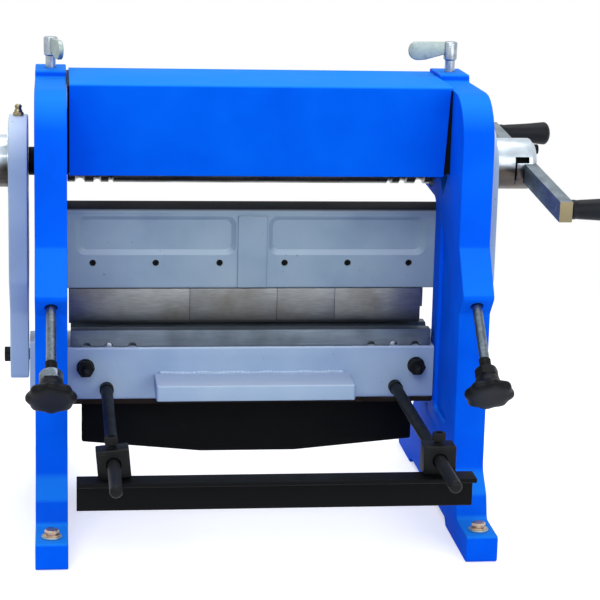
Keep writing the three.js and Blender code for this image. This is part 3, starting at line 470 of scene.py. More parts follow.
def worked_steel(name, colours, roughness, line, stretch, stain_size, sawn=None):
    """Bare metal: lines left by the wheel or the lathe, brown oil stain in patches, and maybe a raw sawn end.

    Real tool lines are a tenth of a millimetre apart, too fine to show here, and are drawn coarser.
    """
    made, tree, place = start_material(name)
    drawn = add(tree, "Mapping", {"Vector": place, "Scale": per_mm(*[line * share for share in stretch])})
    marks = add(tree, "TexNoise", {"Vector": drawn, "Scale": 1.0, "Detail": 3})
    stain = add(tree, "TexNoise", {"Vector": place, "Scale": per_mm(stain_size), "Detail": 5})
    base = add(tree, "ValToRGB", {"Fac": marks}, stops=toned(colours, 0.3, 0.7))
    patch = add(tree, "ValToRGB", {"Fac": stain}, stops=[(0.45, grey(0)), (0.72, grey(0.75))])
    tint = add(tree, "Mix", {0: patch, 6: base, 7: linear(colours[2])}, data_type="RGBA").outputs[2]
    if sawn:
        end = facing(tree, (0, -1, 0), 0.8, 0.9)
        tint = add(tree, "Mix", {0: end, 6: tint, 7: linear(sawn)}, data_type="RGBA").outputs[2]
    dull = add(tree, "ValToRGB", {"Fac": stain}, stops=[(0.35, grey(roughness)), (0.75, grey(roughness + 0.2))])
    bump = add(tree, "Bump", {"Height": marks, "Strength": 0.5, "Distance": 0.0001})
    shader = add(tree, "BsdfPrincipled", {
        "Base Color": tint, "Metallic": 1.0, "Roughness": dull, "Normal": bump})
    add(tree, "OutputMaterial", {"Surface": shader})
    return made


def plated(name, colours, roughness, cloud_size, painted_reflection_below=None, inside=None):
    """Electroplate over turned or cast metal: bright, with a faint cloud of colour in the layer.

    Its lower side may be darkened as a painted reflection of a dark bench, and milled recesses nearer to
    its axis than a radius may be painted dark as shade.
    """
    made, tree, place = start_material(name)
    cloud = add(tree, "TexNoise", {"Vector": place, "Scale": per_mm(cloud_size), "Detail": 3})
    smear = add(tree, "TexNoise", {"Vector": place, "Scale": per_mm(7), "Detail": 4})
    pits = add(tree, "TexNoise", {"Vector": place, "Scale": per_mm(2.4), "Detail": 2})
    colour = add(tree, "ValToRGB", {"Fac": cloud}, stops=toned(colours, 0.32, 0.52, 0.7))
    dull = add(tree, "ValToRGB", {"Fac": smear}, stops=[(0.4, grey(roughness)), (0.75, grey(roughness + 0.14))])
    dimple = add(tree, "Bump", {"Height": pits, "Strength": 0.05, "Distance": 0.0002})
    # Painted reflection: the lower side darkened as if it mirrored a dark bench
    if painted_reflection_below:
        below = facing(tree, (0, 0, -1), -0.24, 0.12)
        colour = add(tree, "Mix", {0: below, 6: colour, 7: linear(painted_reflection_below)}, data_type="RGBA").outputs[2]
    # Painted shade: recesses nearer the axis than a radius are drawn near black
    if inside:
        axis, radius, reach = inside
        offset = add(tree, "VectorMath", {0: place, 1: axis}, operation="SUBTRACT")
        across = add(tree, "VectorMath", {0: offset, 1: (0, 1, 1)}, operation="MULTIPLY")
        distance = add(tree, "VectorMath", {0: across}, operation="LENGTH").outputs["Value"]
        deep = add(tree, "Math", {0: distance, 1: radius}, operation="LESS_THAN")
        sideways = add(tree, "SeparateXYZ", {0: place}).outputs["X"]
        outward = add(tree, "Math", {0: sideways}, operation="ABSOLUTE")
        short = add(tree, "Math", {0: outward, 1: reach}, operation="LESS_THAN")
        recess_shade = add(tree, "Math", {0: deep, 1: short}, operation="MULTIPLY")
        colour = add(tree, "Mix", {0: recess_shade, 6: colour, 7: linear("#0A0B0C")}, data_type="RGBA").outputs[2]
    shader = add(tree, "BsdfPrincipled", {
        "Base Color": colour, "Metallic": 1.0, "Roughness": dull, "Normal": dimple})
    add(tree, "OutputMaterial", {"Surface": shader})
    return made


def blacked(name, colours, roughness, gloss, wear):
    """Blacked or black-painted steel: dark skin, dusty grey in patches and rubbed thin in scratches."""
    made, tree, place = start_material(name)
    dust = add(tree, "TexNoise", {"Vector": place, "Scale": per_mm(22), "Detail": 5})
    along = add(tree, "Mapping", {"Vector": place, "Scale": per_mm(15, 3, 3)})
    rub = add(tree, "TexNoise", {"Vector": along, "Scale": 1.0, "Detail": 4})
    grit = add(tree, "TexNoise", {"Vector": place, "Scale": per_mm(1.8), "Detail": 4})
    skin = add(tree, "ValToRGB", {"Fac": dust}, stops=toned(colours, 0.35, 0.8))
    scratch = add(tree, "ValToRGB", {"Fac": rub}, stops=[(wear, grey(0)), (wear + 0.08, grey(0.55))])
    tint = add(tree, "Mix", {0: scratch, 6: skin, 7: linear(colours[2])}, data_type="RGBA").outputs[2]
    dull = add(tree, "ValToRGB", {"Fac": dust}, stops=[(0.3, grey(roughness)), (0.8, grey(roughness + 0.2))])
    bump = add(tree, "Bump", {"Height": grit, "Strength": 0.25, "Distance": 0.0003})
    shader = add(tree, "BsdfPrincipled", {
        "Base Color": tint, "Roughness": dull, "Normal": bump, "Specular IOR Level": gloss})
    add(tree, "OutputMaterial", {"Surface": shader})
    return made


def moulded(name, colours, roughness, gloss):
    """Moulded black plastic: deep gloss with a soft, slightly uneven skin."""
    made, tree, place = start_material(name)
    cloud = add(tree, "TexNoise", {"Vector": place, "Scale": per_mm(14), "Detail": 3})
    skin = add(tree, "TexNoise", {"Vector": place, "Scale": per_mm(1.2), "Detail": 2})
    tint = add(tree, "ValToRGB", {"Fac": cloud}, stops=toned(colours, 0.35, 0.75))
    dull = add(tree, "ValToRGB", {"Fac": cloud}, stops=[(0.35, grey(roughness)), (0.7, grey(roughness + 0.12))])
    bump = add(tree, "Bump", {"Height": skin, "Strength": 0.12, "Distance": 0.0002})
    shader = add(tree, "BsdfPrincipled", {
        "Base Color": tint, "Roughness": dull, "Normal": bump, "Specular IOR Level": gloss})
    add(tree, "OutputMaterial", {"Surface": shader})
    return made


# Enamel on the iron frames is a flat, strong blue with a slight grain, and paler where it faces up, as painted top
# light
blue_casting = enamel(
    "blue_enamel_on_iron", ("#0050DC", "#0057E5", "#035FEB"), 0.6, 0.02, 0.07, "#187AE6")
# On the folded sheet the same blue is smoother
blue_sheet = enamel(
    "blue_enamel_on_sheet", ("#0052D8", "#0058DE", "#035EE4"), 0.62, 0.01, 0.03, "#2084E8")
# Pale grey-blue enamel with a soft shine, nicked here and there
grey_enamel = enamel(
    "grey_blue_enamel", ("#93AAC5", "#9AB1CB", "#A1B7CD"), 0.5, 0.12, 0.16, "#C4D5E8", 0.74)
# The same enamel as a greyer, darker copy, painted shade for the beam under the cover; its top face is drawn dark
# and duller
beam_shade_enamel = enamel(
    "grey_enamel_on_beam", ("#7E93A6", "#889DAE", "#90A3B2"), 0.5, 0.12, 0.16, "#B6C8D6", 0.735, 254)
# Ground along its length: fine lines and a dull, oily grey
ground_steel = worked_steel(
    "ground_steel_skin", ("#74787B", "#878A8C", "#69665F"), 0.42, 0.7, (14, 1, 1), 34)
# Turned on the lathe: rings about the roll, with streaks of light along it
turned_steel = worked_steel(
    "turned_steel_skin", ("#8A8C8E", "#A5A7A9", "#6E675D"), 0.3, 6, (0.12, 1, 1), 40)
# Milled along its length, with a bluish grey and little shine
die_steel = worked_steel(
    "milled_die_steel", ("#64707C", "#707C88", "#5C646B"), 0.5, 1.4, (16, 1, 1), 30)
# Polished screw: narrow bright lights on a dark steel
screw_steel = worked_steel(
    "polished_screw_steel", ("#5E6A74", "#7C8892", "#3E4347"), 0.24, 2.5, (1, 1, 1), 12)
# Drawn bar: streaks along it, and a sawn front end with a yellowish film of oil
bar_steel = worked_steel(
    "drawn_bar_steel", ("#6A767F", "#89949B", "#596168"), 0.5, 0.8, (1, 14, 1), 30, sawn="#8E8468")
# Zinc is a cool bright grey where it is smooth, and a greenish flat one where it is cast
zinc = plated("zinc_casting", ("#8E99A6", "#A9B3BE", "#7F8A97"), 0.26, 12)
matt_zinc = plated("matt_zinc_casting", ("#94A3A1", "#A4B2B0", "#8C9A98"), 0.5, 9)
# Passivated zinc has a yellow and pink film, and old brass a dull olive one
gold_zinc = plated("yellow_passivated_zinc", ("#A58B78", "#C0AA92", "#8E7A70"), 0.3, 4)
brass = plated("dull_brass", ("#857A58", "#9C9070", "#6E6850"), 0.35, 5)
# Cast bronze: brownish yellow with oil in its grain
bronze = worked_steel("cast_bronze", ("#9C7440", "#B4894E", "#6B5334"), 0.38, 1.5, (1, 1, 1), 20)
# Oil-blacked steel is nearly black with a satin light, its paint flatter, and its rust film dark brown
black_iron = blacked("blacked_steel", ("#090B0D", "#141618", "#34322F"), 0.42, 0.14, 0.66)
black_paint = blacked("black_paint_on_steel", ("#040506", "#0A0B0D", "#232220"), 0.5, 0.08, 0.7)
browned_iron = blacked("browned_iron", ("#1E1815", "#2C2420", "#3C3530"), 0.6, 0.05, 0.6)
# Bakelite shines softly, and the grips' plastic is a little greyer and duller
bakelite = moulded("black_bakelite", ("#06080B", "#0C0F13"), 0.36, 0.12)
grip_plastic = moulded("black_moulded_grip", ("#0C0F14", "#141920"), 0.42, 0.16)

# Sizes of the frames and the rolls' places in millimetres, about the drive roll's axis
frame_low, frame_high = node_box("right_frame")
frame_in = frame_low.x
frame_out = frame_high.x
frame_mid = (frame_in + frame_out) / 2
foot_front = frame_low.y
foot_rear = frame_high.y
foot_top = 22
pad_rise = 6
front_pad = foot_front + 88
rear_pad = foot_rear - 62
ledge = foot_front + 44
rear_toe = 72
brow = -137
column_rear = -31
head_rear = 30
head_top = 367
lug_top = frame_high.z
lug_half = 25
head_under = 266
shelf = 76.07
slope = math.radians(43)
bend_y = -42
bend_z = roll_z + 14.2
lug_reach = 157
lug_width_half = 11
foot_bolt_inset = 17
foot_screws = (("front", foot_front + foot_bolt_inset), ("rear", foot_rear - foot_bolt_inset))
foot_hex = 10
beam_bolt_hex = 17.8
screw_hole = 3.4
roll_radius = 18
journal = 11
small_journal = 8
bush_outer = 14.7
upper_z = roll_z + 37
block_half = 12.3
pocket_depth = 22
gear_pocket = 21.2
gear_depth = 7.8
sand_radius = 2.2
cover_low, cover_high = node_box("roll_cover")
cover_bend = 3
cover_sheet = 2
rear_skirt = 16
left_gap = 1.9


def on_slope(obj):
    """Turns a piece drawn along +Y about the bending roll onto the slope of its screws."""
    return moved(obj, Matrix.Translation((0, bend_y, bend_z)) @ Matrix.Rotation(slope, 4, "X"))


def on_screw(obj, side):
    """The same, on the line of one side's adjusting screw."""
    return on_slope(shifted(obj, side * frame_mid))


def side_frame(side):
    """Cast side frame: foot, raked column with the lug for the sloping screw, head with its boss."""
    lug = Vector((bend_y - math.cos(slope) * lug_reach, bend_z - math.sin(slope) * lug_reach))
    across = Vector((-math.sin(slope), math.cos(slope))) * lug_width_half
    relief_rear, relief_front, relief_low = -57, -110.6, shelf + 8
    slide_front, slide_rear, screw_end = -34.4, 20.4, -30
    body = prism([
        (foot_front, 0, 3), (front_pad, 0, 1), (front_pad + pad_rise, pad_rise, 4),
        (rear_pad - pad_rise, pad_rise, 4), (rear_pad, 0, 1), (foot_rear, 0, 3), (foot_rear, foot_top, 6),
        (rear_toe, foot_top, 20), (30, shelf, 14), (column_rear, shelf, 6), (column_rear, head_under, 12),
        (head_rear, head_under + 3, 5), (head_rear, head_top, 4), (lug_half, head_top), (lug_half, lug_top, 3),
        (-lug_half, lug_top, 3), (-lug_half, head_top, 2.5), (brow, head_top, 40), (brow, roll_z - 47, 8),
        (lug.x + across.x, lug.y + across.y, 4), (lug.x - across.x, lug.y - across.y, 4),
        (lug.x - across.x - 1, foot_top + 36, 12), (ledge + 6, foot_top + 19, 8), (ledge, foot_top, 5),
        (foot_front, foot_top, 3),
    ], frame_in, frame_out)
    start = frame_in - over
    tools = [
        prism([(relief_rear, 251), (relief_rear, relief_low, 6), (relief_front, relief_low, 6),
               (relief_front, 219, 4)], start, frame_in + 3),
        rod(bush_outer, start, frame_out + over, "X", (0, roll_z), grip_facets),
        block((start, -block_half, upper_z - 14.5), (frame_in + pocket_depth, block_half, upper_z + 16.5)),
        on_slope(block((start, slide_front, -block_half), (frame_in + pocket_depth, slide_rear, block_half))),
        on_slope(rod(5.4, -lug_reach - 4, screw_end, "Y", (frame_mid, 0), screw_facets)),
        rod(4.8, upper_z + 14, lug_top + over, "Z", (frame_mid, 0), screw_facets),
    ]
    tools += [rod(screw_hole, -over, foot_top + 2 * over, "Z", (frame_mid, y), stem_facets) for _, y in foot_screws]
    if side > 0:
        tools += [rod(gear_pocket, start, frame_in + gear_depth, "X", (0, roll_z), bore_facets),
                  rod(gear_pocket + 1.5, start, frame_in + gear_depth, "X", (0, upper_z + 0.8), bore_facets)]
    rounded(body, sand_radius, 3)
    return mirrored(cut(body, *tools), side)


def hex_head(across, height):
    """Hexagon with the turned chamfer on its upper corners, standing on zero along Z."""
    corner = across / math.sqrt(3)
    body = prism(hexagon(across), 0, height, "Z")
    crown = turned([(-1, corner * 1.2), (height - 0.35 * corner, corner * 1.2), (height + 0.02, across * 0.47)],
                   "Z", steps=rod_facets)
    return rounded(combine(body, [crown], "INTERSECT"), 0.15, 1, 50)


def socket_head(radius, height):
    """Cap screw head with its hexagon socket and a fine knurl, standing on zero along Z."""
    teeth = 36
    knurl = 0.25
    ring = []
    for i in range(teeth * 2):
        reach = radius - (knurl if i % 2 else 0)
        ring.append(Vector((math.cos(math.pi * i / teeth), math.sin(math.pi * i / teeth))) * reach)
    body = loft([[(p.x * share, p.y * share, z) for p in ring]
                 for z, share in ((0, 1), (height - 0.6, 1), (height, 0.9))])
    return cut(body, prism(hexagon(radius), height * 0.45, height + 1, "Z"))


def foot_bolt(y):
    """Hexagon bolt with a thin collar under its head, the corners chamfered as on a pressed head."""
    seat = foot_top + 1.8
    shank = rod(3, 1.6, seat, "Z", (0, y), stem_facets)
    collar = turned([(seat, 6.6), (seat + 0.9, 6.4), (seat + 1.3, 5.4)], "Z", (0, y), washer_facets)
    return together(shank, collar, shifted(hex_head(foot_hex, 4.6), 0, y, seat + 0.4))


def foot_washer(y):
    low, high, hole = foot_top + seat_gap, foot_top + 1.7, 3.4
    return rounded(turned([(low, 8.2), (high, 8), (high, hole), (low, hole)], "Z", (0, y), rod_facets), 0.3)


def cover_section(inset, thick):
    """Corners across the cover, for a fold lying inset inside its outer face."""
    front, rear, top = cover_low.y + inset, cover_high.y - inset, cover_high.z - inset
    skirt, rear_edge = cover_low.z + inset, cover_high.z - rear_skirt + inset
    bend = max(cover_bend - inset, 0.5)
    inner = max(bend - thick, 0)
    return [
        (front, skirt), (front + thick, skirt), (front + thick, top - thick, inner),
        (rear - thick, top - thick, inner), (rear - thick, rear_edge), (rear, rear_edge),
        (rear, top, bend), (front, top, bend)]


def roll_cover():
    """Sheet folded over the rolls: long front skirt trimmed askew at its right end, short rear one."""
    gap_above, gap_below = 1.8, 5.6
    end, fold, edge = cover_high.x, cover_high.z - cover_bend, cover_low.z - 1
    body = prism(cover_section(0, cover_sheet), cover_low.x + left_gap, end)
    wedge = prism([(end - gap_above, fold), (end + 1, fold), (end + 1, edge), (end - gap_below, edge)],
                  cover_low.y - 1, cover_low.y + cover_sheet + 1, "Y")
    return rounded(cut(body, wedge), 0.5)


def shade_strips_under_cover():
    """Black strips under the cover's ends, painted shade standing for the shadowed gaps between it and the frames.
    """
    section = cover_section(cover_sheet + 0.05, 6)
    return together(prism(section, cover_low.x, cover_low.x + 4), prism(section, cover_high.x - 7, cover_high.x))


# Upper beam
beam_low, beam_high = node_box("upper_beam")
beam_bottom = 186
panel_mid = beam_bottom + 46.5
panel_half = 17
panel_width = 138
panel_corner = 8
panel_depth = 5
panel_draft = 4
rib_half = 14
rib_inset = 1.4
rib_proud = 1.8
leg_front = -5
blade_thick = 8
screw_places = [x for place in (28.3, 83.6, 137.7) for x in (-place, place)]
screw_line = beam_bottom + 22.5
left_finger_reach = 3


def sunk_panel(side):
    """Tool for a sunk panel with drafted walls and round corners."""
    x0 = rib_half if side > 0 else -rib_half - panel_width
    rings = []
    for depth, inset in ((-over, 0), (0, 0), (panel_depth, panel_draft)):
        corners = oblong(x0 + inset, panel_mid - panel_half + inset, x0 + panel_width - inset,
                         panel_mid + panel_half - inset, panel_corner - inset / 2)
        rings.append([(p.x, beam_low.y + depth, p.y) for p in outline(corners)])
    return loft(rings)


def upper_beam():
    """Cast beam: two sunk panels with a rib between, a groove for the fingers, a seat for the blade."""
    rear = beam_high.y
    leg = beam_low.z
    seat_top = leg + 50
    seat = rear - blade_thick - seat_gap
    body = prism([
        (beam_low.y, beam_bottom, 2), (leg_front, beam_bottom, 3), (leg_front, leg, 1), (seat, leg, 1),
        (seat, seat_top), (rear, seat_top), (rear, beam_high.z, 6), (beam_low.y, beam_high.z, 5),
    ], beam_low.x, beam_high.x)
    end = frame_in - 4
    left_trim = block((beam_low.x - over, leg_front - over, leg - over), (-end, rear + over, beam_bottom))
    right_trim = block((end, leg_front - over, leg - over), (beam_high.x + over, rear + over, beam_bottom))
    cut(body, left_trim, right_trim, sunk_panel(-1), sunk_panel(1))
    rounded(body, 1.6, 3, 25)
    rib = block((-rib_half + rib_inset, beam_low.y - rib_proud, beam_bottom + 1),
                (rib_half - rib_inset, beam_low.y + 2, beam_high.z - 6))
    weld(body, rounded(rib, 0.7, 2))
    return cut(body, *[rod(2.9, beam_low.y - over, beam_low.y + 12, "Y", (x, screw_line), screw_facets)
                       for x in screw_places])


def finger_screws_hole_shade():
    """Blackened set screws with a hexagon socket, sunk in the beam's holes to hold the fingers; their black also
    stands in as painted shade down the holes.
    """
    ends = []
    for x in screw_places:
        end = rod(2.7, beam_low.y + 1.2, beam_low.y + 7, "Y", (x, screw_line), screw_facets)
        socket = prism(hexagon(2.8), beam_low.y - 1, beam_low.y + 4, "Y")
        ends.append(cut(end, shifted(socket, x, 0, screw_line)))
    return together(*ends)


def brake_finger(number):
    """Ground finger with a nose bevelled on both sides and a tang that goes up into the beam."""
    low, high = node_box(f"brake_finger_{number}")
    front, back, tip = low.y, high.y, low.z
    start = low.x - (left_finger_reach if number == 1 else 0)
    shoulder = beam_bottom - seat_gap
    bevel, tang_front, tang_rear = 2.2, front + 5.7, front + 11.7
    nose = front + bevel
    body = prism([
        (front, tip + bevel / math.tan(math.radians(30))), (nose, tip, 0.4),
        (back, tip + (back - nose) / math.tan(slope)), (back, shoulder), (tang_rear, shoulder),
        (tang_rear, high.z), (tang_front, high.z), (tang_front, shoulder), (front, shoulder),
    ], start, high.x, steps=3)
    return rounded(body, 0.35, 2)


def beam_bolt(side):
    """Hexagon bolt that holds the beam to the column from behind."""
    low, high = node_box("right_beam_bolt")
    seat = beam_high.y + seat_gap
    face = seat + 1.6
    shank = rod(6, low.y, seat, "Y", (0, 0), screw_facets)
    washer = rounded(rod(10.3, seat, face, "Y", (0, 0), washer_facets), 0.3)
    head = moved(hex_head(beam_bolt_hex, high.y - face), to_rear)
    bolt = together(shank, washer, shifted(head, 0, face))
    return shifted(bolt, side * frame_mid, 0, (low.z + high.z) / 2)


def dress_blade(which, rake, body):
    """Tool steel blade with its raked edge, and a row of countersunk socket screws let into it."""
    low, high = node_box(f"{which}_blade")
    face = high.y
    level = high.z - 16 if rake else low.z + 14
    reach = (high.x - low.x) / 2 - 26
    screws = 5
    blade = prism([(low.x, low.z + rake), (high.x, low.z), (high.x, high.z), (low.x, high.z)], low.y, face, "Y")
    rounded(blade, 0.3, 1)
    sinks, heads = [], []
    for i in range(screws):
        x = -reach + 2 * reach * i / (screws - 1)
        sinks.append(turned([(face - 4, 4), (face - 3, 4), (face + 0.1, 7.2)], "Y", (x, level), screw_facets))
        head = turned([(face - 3.4, 3.6), (face - 2.9, 3.8), (face - 0.3, 6.4)], "Y", (x, level), screw_facets)
        socket = prism(hexagon(4.6), face - 2.4, face + 1, "Y")
        heads.append(cut(head, shifted(socket, x, 0, level)))
    finished(cut(blade, *sinks), f"{which}_shear_blade", ground_steel, body, f"{which}_blade")
    finished(together(*heads), f"{which}_blade_screws", black_iron, body)


def dress_stand():
    for name, side in SIDES:
        finished(side_frame(side), f"{name}_frame_casting", blue_casting, "stand", f"{name}_frame")
        for end, y in foot_screws:
            bolt, washer = shifted(foot_bolt(y), side * frame_mid), shifted(foot_washer(y), side * frame_mid)
            finished(bolt, f"{name}_{end}_foot_screw", gold_zinc, "stand", f"{name}_{end}_foot_bolt")
            finished(washer, f"{name}_{end}_foot_washer", matt_zinc, "stand")
        finished(beam_bolt(side), f"{name}_beam_screw", black_iron, "stand", f"{name}_beam_bolt")
    finished(roll_cover(), "folded_cover", blue_sheet, "stand", "roll_cover")
    # Black strips as painted shade at the cover's ends
    finished(shade_strips_under_cover(), "cover_end_painted_shade", black_paint, "stand")
    finished(upper_beam(), "beam_casting", beam_shade_enamel, "stand", "upper_beam")
    # Black set screws, also painted shade in the beam's holes
    finished(finger_screws_hole_shade(), "finger_set_screws_hole_shade", black_iron, "stand")
    for number in (1, 2, 3, 4):
        finished(brake_finger(number), f"finger_{number}", ground_steel, "stand", f"brake_finger_{number}")
    dress_blade("upper", 6, "stand")


# Bed and gauge
bed_low, bed_high = node_box("bed")
bed_top = bed_high.z
bed_front = bed_low.y
bed_seat = bed_front - seat_gap
die_low, die_high = node_box("lower_die")
tip_y = -28.5
groove = 7.245
die_screws = (104, 124, 143)
die_hole_z = die_low.z + 0.5
stud_x = 144
stud_z = bed_top - 17
stud_hex = 13.2
stud_nut = 8
pin_z = bed_top - 16
eccentric_throw = 7
sole_drop = 4.5
stiff_low, stiff_high = node_box("stiffener_plate")
rest_low, rest_high = node_box("work_rest")
rod_low, rod_high = node_box("right_gauge_rod")
rod_x = (rod_low.x + rod_high.x) / 2
rod_z = (rod_low.z + rod_high.z) / 2
rod_radius = (rod_high.x - rod_low.x) / 2
block_turn = math.radians(5.5)


def bed():
    """Bed casting: between the columns at the front, wide behind them, with a slotted hole for each link pin."""
    blade_front = 13.6 - seat_gap
    wide_front = column_rear + 0.4
    front_half = frame_in - 0.4
    slot_half, slot_corner = 6.2, 5.6
    wide = prism([
        (wide_front, bed_low.z, 3), (bed_high.y, bed_low.z, 3), (bed_high.y, die_high.z - 30.3, 1),
        (blade_front, die_high.z - 30.3), (blade_front, bed_top, 1), (wide_front, bed_top, 1),
    ], bed_low.x, bed_high.x)
    front = prism([(bed_front, bed_low.z, 2.5), (0, bed_low.z), (0, bed_top), (bed_front, bed_top, 2)],
                  -front_half, front_half)
    body = rounded(weld(wide, front), 0.9, 2)
    tools = []
    for side in (-1, 1):
        slot = prism(oblong(-12.8, pin_z - slot_half, 4, pin_z + slot_half, slot_corner), 180, 195)
        tools += [
            mirrored(slot, side),
            rod(screw_hole, bed_front - over, bed_front + 14, "Y", (side * stud_x, stud_z), stem_facets),
            rod(5.4, bed_front - over, bed_front + 15, "Y", (side * rod_x, rod_z), screw_facets)]
    return cut(body, *tools)


def lower_die():
    """Milled die: a right-angled groove along its top and a row of screw holes along its foot."""
    low, high = die_low, die_high
    body = prism([
        (low.y, low.z), (high.y, low.z), (high.y, high.z), (tip_y + groove, high.z),
        (tip_y, high.z - groove), (tip_y - groove, high.z), (low.y, high.z)], low.x, high.x)
    rounded(body, 0.5, 2, 20)
    return cut(body, *[rod(3.6, low.y - over, low.y + 8, "Y", (x, die_hole_z), screw_facets)
                       for place in die_screws for x in (-place, place)])


def die_screw_ends():
    """Set screws that show as bright ends in the middle holes of the die."""
    front = die_low.y
    profile = [(front + 1.5, 2.2), (front + 2, 3.2), (front + 7, 3.2)]
    return together(*[turned(profile, "Y", (x, die_hole_z), screw_facets) for x in (-die_screws[1], die_screws[1])])


def bed_sole():
    """Unpainted sole under the bed's front edge, brown against the grey above it."""
    half = frame_in - 0.6
    return rounded(block((-half, bed_front + 1.6, bed_low.z - sole_drop),
                         (half, stiff_low.y - seat_gap, bed_low.z + 0.4)), 0.5)


def work_rest():
    low, high = rest_low, rest_high
    plan = [(low.x, low.y, 2.5), (high.x, low.y, 2.5), (high.x, high.y), (low.x, high.y)]
    return rounded(prism(plan, low.z, high.z, "Z"), 1.2, 3)


def weld_bead():
    """Hand-laid weld along the top seam between the rest bar and the bed, painted over."""
    beads = 150
    inset = 5
    rings = []
    for k in range(beads + 1):
        along = rest_low.x + inset + (rest_high.x - rest_low.x - 2 * inset) * k / beads
        reach = 1.9 + 0.3 * math.sin(2.1 * k) + 0.25 * math.sin(0.37 * k + 1)
        lift = 0.3 * math.sin(0.23 * k)
        rings.append([(along, rest_high.y + 0.2 + p.x, rest_high.z - 0.3 + lift + p.y) for p in circle(reach, 12)])
    return loft(rings)


def stiffener():
    """Plate under the bed with a fish-bellied lower edge."""
    low, high = stiff_low, stiff_high
    flat, end = 42, 9.8
    corners = [
        (low.x, high.z), (low.x, low.z + end, 2), (-flat, low.z, 30), (flat, low.z, 30),
        (high.x, low.z + end, 2), (high.x, high.z)]
    return rounded(prism(corners, low.y, high.y, "Y"), 0.6)


def bed_stud(side):
    """Stud with its pointed thread standing well proud of a washer and a thick hexagon nut."""
    low, high = node_box("right_bed_stud")
    face = bed_seat - 1.2
    washer = rounded(rod(7.6, face, bed_seat, "Y", (0, 0), washer_facets), 0.3)
    nut = moved(hex_head(stud_hex, stud_nut), Matrix.Translation((0, face, 0)) @ to_front)
    point = turned([(low.y, 1.8), (low.y + 0.8, 2.9), (low.y + 3, 3.3)], "Y", (0, 0), stem_facets)
    stud = together(point, threaded(3.5, 1, low.y + 2.8, bed_seat, "Y", (0, 0), stem_facets),
                    rod(3, bed_seat - 0.1, high.y, "Y", (0, 0), stem_facets))
    return shifted(together(washer, nut, stud), side * stud_x, 0, stud_z)


def gauge_rod(side):
    """Drawn rod with a rounded front end, and the turned shoulder that seats it on the bed."""
    crown = 3
    steps = 5
    collar = rod_radius + 1
    profile = []
    for k in range(steps, -1, -1):
        angle = math.pi / 2 * k / steps
        profile.append((rod_low.y + crown * (1 - math.sin(angle)), rod_radius - crown + crown * math.cos(angle)))
    profile += [(bed_seat - 9, rod_radius), (bed_seat - 8, collar), (bed_seat, collar), (bed_seat, rod_radius),
                (rod_high.y, rod_radius)]
    return turned(profile, "Y", (side * rod_x, rod_z), washer_facets)


def askew(obj, side):
    """The left block and its screw were tightened a little turned on the rod."""
    if side > 0:
        return obj
    axis = Matrix.Translation((-rod_x, 0, rod_z))
    return moved(obj, axis @ Matrix.Rotation(-block_turn, 4, "Y") @ axis.inverted())


def gauge_block(side):
    low, high = node_box("right_gauge_block")
    body = rounded(block(low, high), 1.1, 3)
    x, y, half = (low.x + high.x) / 2, (low.y + high.y) / 2, (high.y - low.y) / 2
    fit, mouth = rod_radius + 0.35, rod_radius + 1.6
    bore = turned([(y - half - 1, mouth), (y - half + 0.9, fit), (y + half - 0.9, fit), (y + half + 1, mouth)],
                  "Y", (x, rod_z), washer_facets)
    tap = rod(3.6, rod_z, high.z + 1, "Z", (x, y), screw_facets)
    return askew(mirrored(cut(body, bore, tap), side), side)


def gauge_screw(side):
    """Socket cap screw that locks a block on its rod, with some thread showing."""
    low, high = node_box("right_gauge_screw")
    x, y = (low.x + high.x) / 2, (low.y + high.y) / 2
    head_height = 6
    seat = high.z - head_height
    head = shifted(socket_head((high.x - low.x) / 2, head_height), x, y, seat)
    shank = threaded(3.2, 1, low.z, seat, "Z", (x, y), stem_facets)
    return askew(mirrored(together(head, shank), side), side)


def gauge_angle():
    """Rolled angle with a rounded root and toes."""
    low, high = node_box("gauge_angle")
    thick = 4
    body = prism([
        (low.y, high.z - thick, 2), (high.y - thick, high.z - thick, 4), (high.y - thick, low.z, 2),
        (high.y, low.z, 0.6), (high.y, high.z, 0.8), (low.y, high.z, 0.6),
    ], low.x, high.x)
    return rounded(body, 0.45)


def dress_bed():
    finished(bed(), "bed_casting", grey_enamel, "moving_bed", "bed")
    finished(bed_sole(), "bed_sole", browned_iron, "moving_bed")
    finished(lower_die(), "grooved_die", die_steel, "moving_bed", "lower_die")
    finished(die_screw_ends(), "die_set_screws", zinc, "moving_bed")
    finished(work_rest(), "work_rest_bar", grey_enamel, "moving_bed", "work_rest")
    finished(weld_bead(), "rest_weld", grey_enamel, "moving_bed")
    finished(stiffener(), "stiffener", black_paint, "moving_bed", "stiffener_plate")
    dress_blade("lower", 0, "moving_bed")
    for name, side in SIDES:
        finished(bed_stud(side), f"{name}_stud", black_iron, "moving_bed", f"{name}_bed_stud")
        finished(gauge_rod(side), f"{name}_rod", black_iron, "moving_bed", f"{name}_gauge_rod")
        finished(gauge_block(side), f"{name}_block", black_iron, "gauge", f"{name}_gauge_block")
        finished(gauge_screw(side), f"{name}_lock_screw", black_iron, "gauge", f"{name}_gauge_screw")
    finished(gauge_angle(), "rolled_angle", black_paint, "gauge", "gauge_angle")


# Rolls
roll_end = frame_in - 1
wire_grooves = ((121.7, 2.2), (133.5, 3.2), (148.4, 4.2))


def roll(stub, stub_end, at, grooves=()):
    """Turned roll with chamfered ends, journals, and round-bottomed grooves for wire."""
    steps = 8
    half = [(0, roll_radius)]
    for x, r in grooves:
        for k in range(steps + 1):
            angle = math.pi * k / steps
            half.append((x - r * math.cos(angle), roll_radius - 0.8 * r * math.sin(angle)))
    half += [(roll_end - 1, roll_radius), (roll_end, roll_radius - 1), (roll_end, stub + 0.5),
             (roll_end + 0.5, stub), (stub_end - 0.8, stub), (stub_end, stub - 0.8)]
    left = [(-x, r) for x, r in reversed(half[1:])]
    return turned(left + half, "X", at, roll_facets)


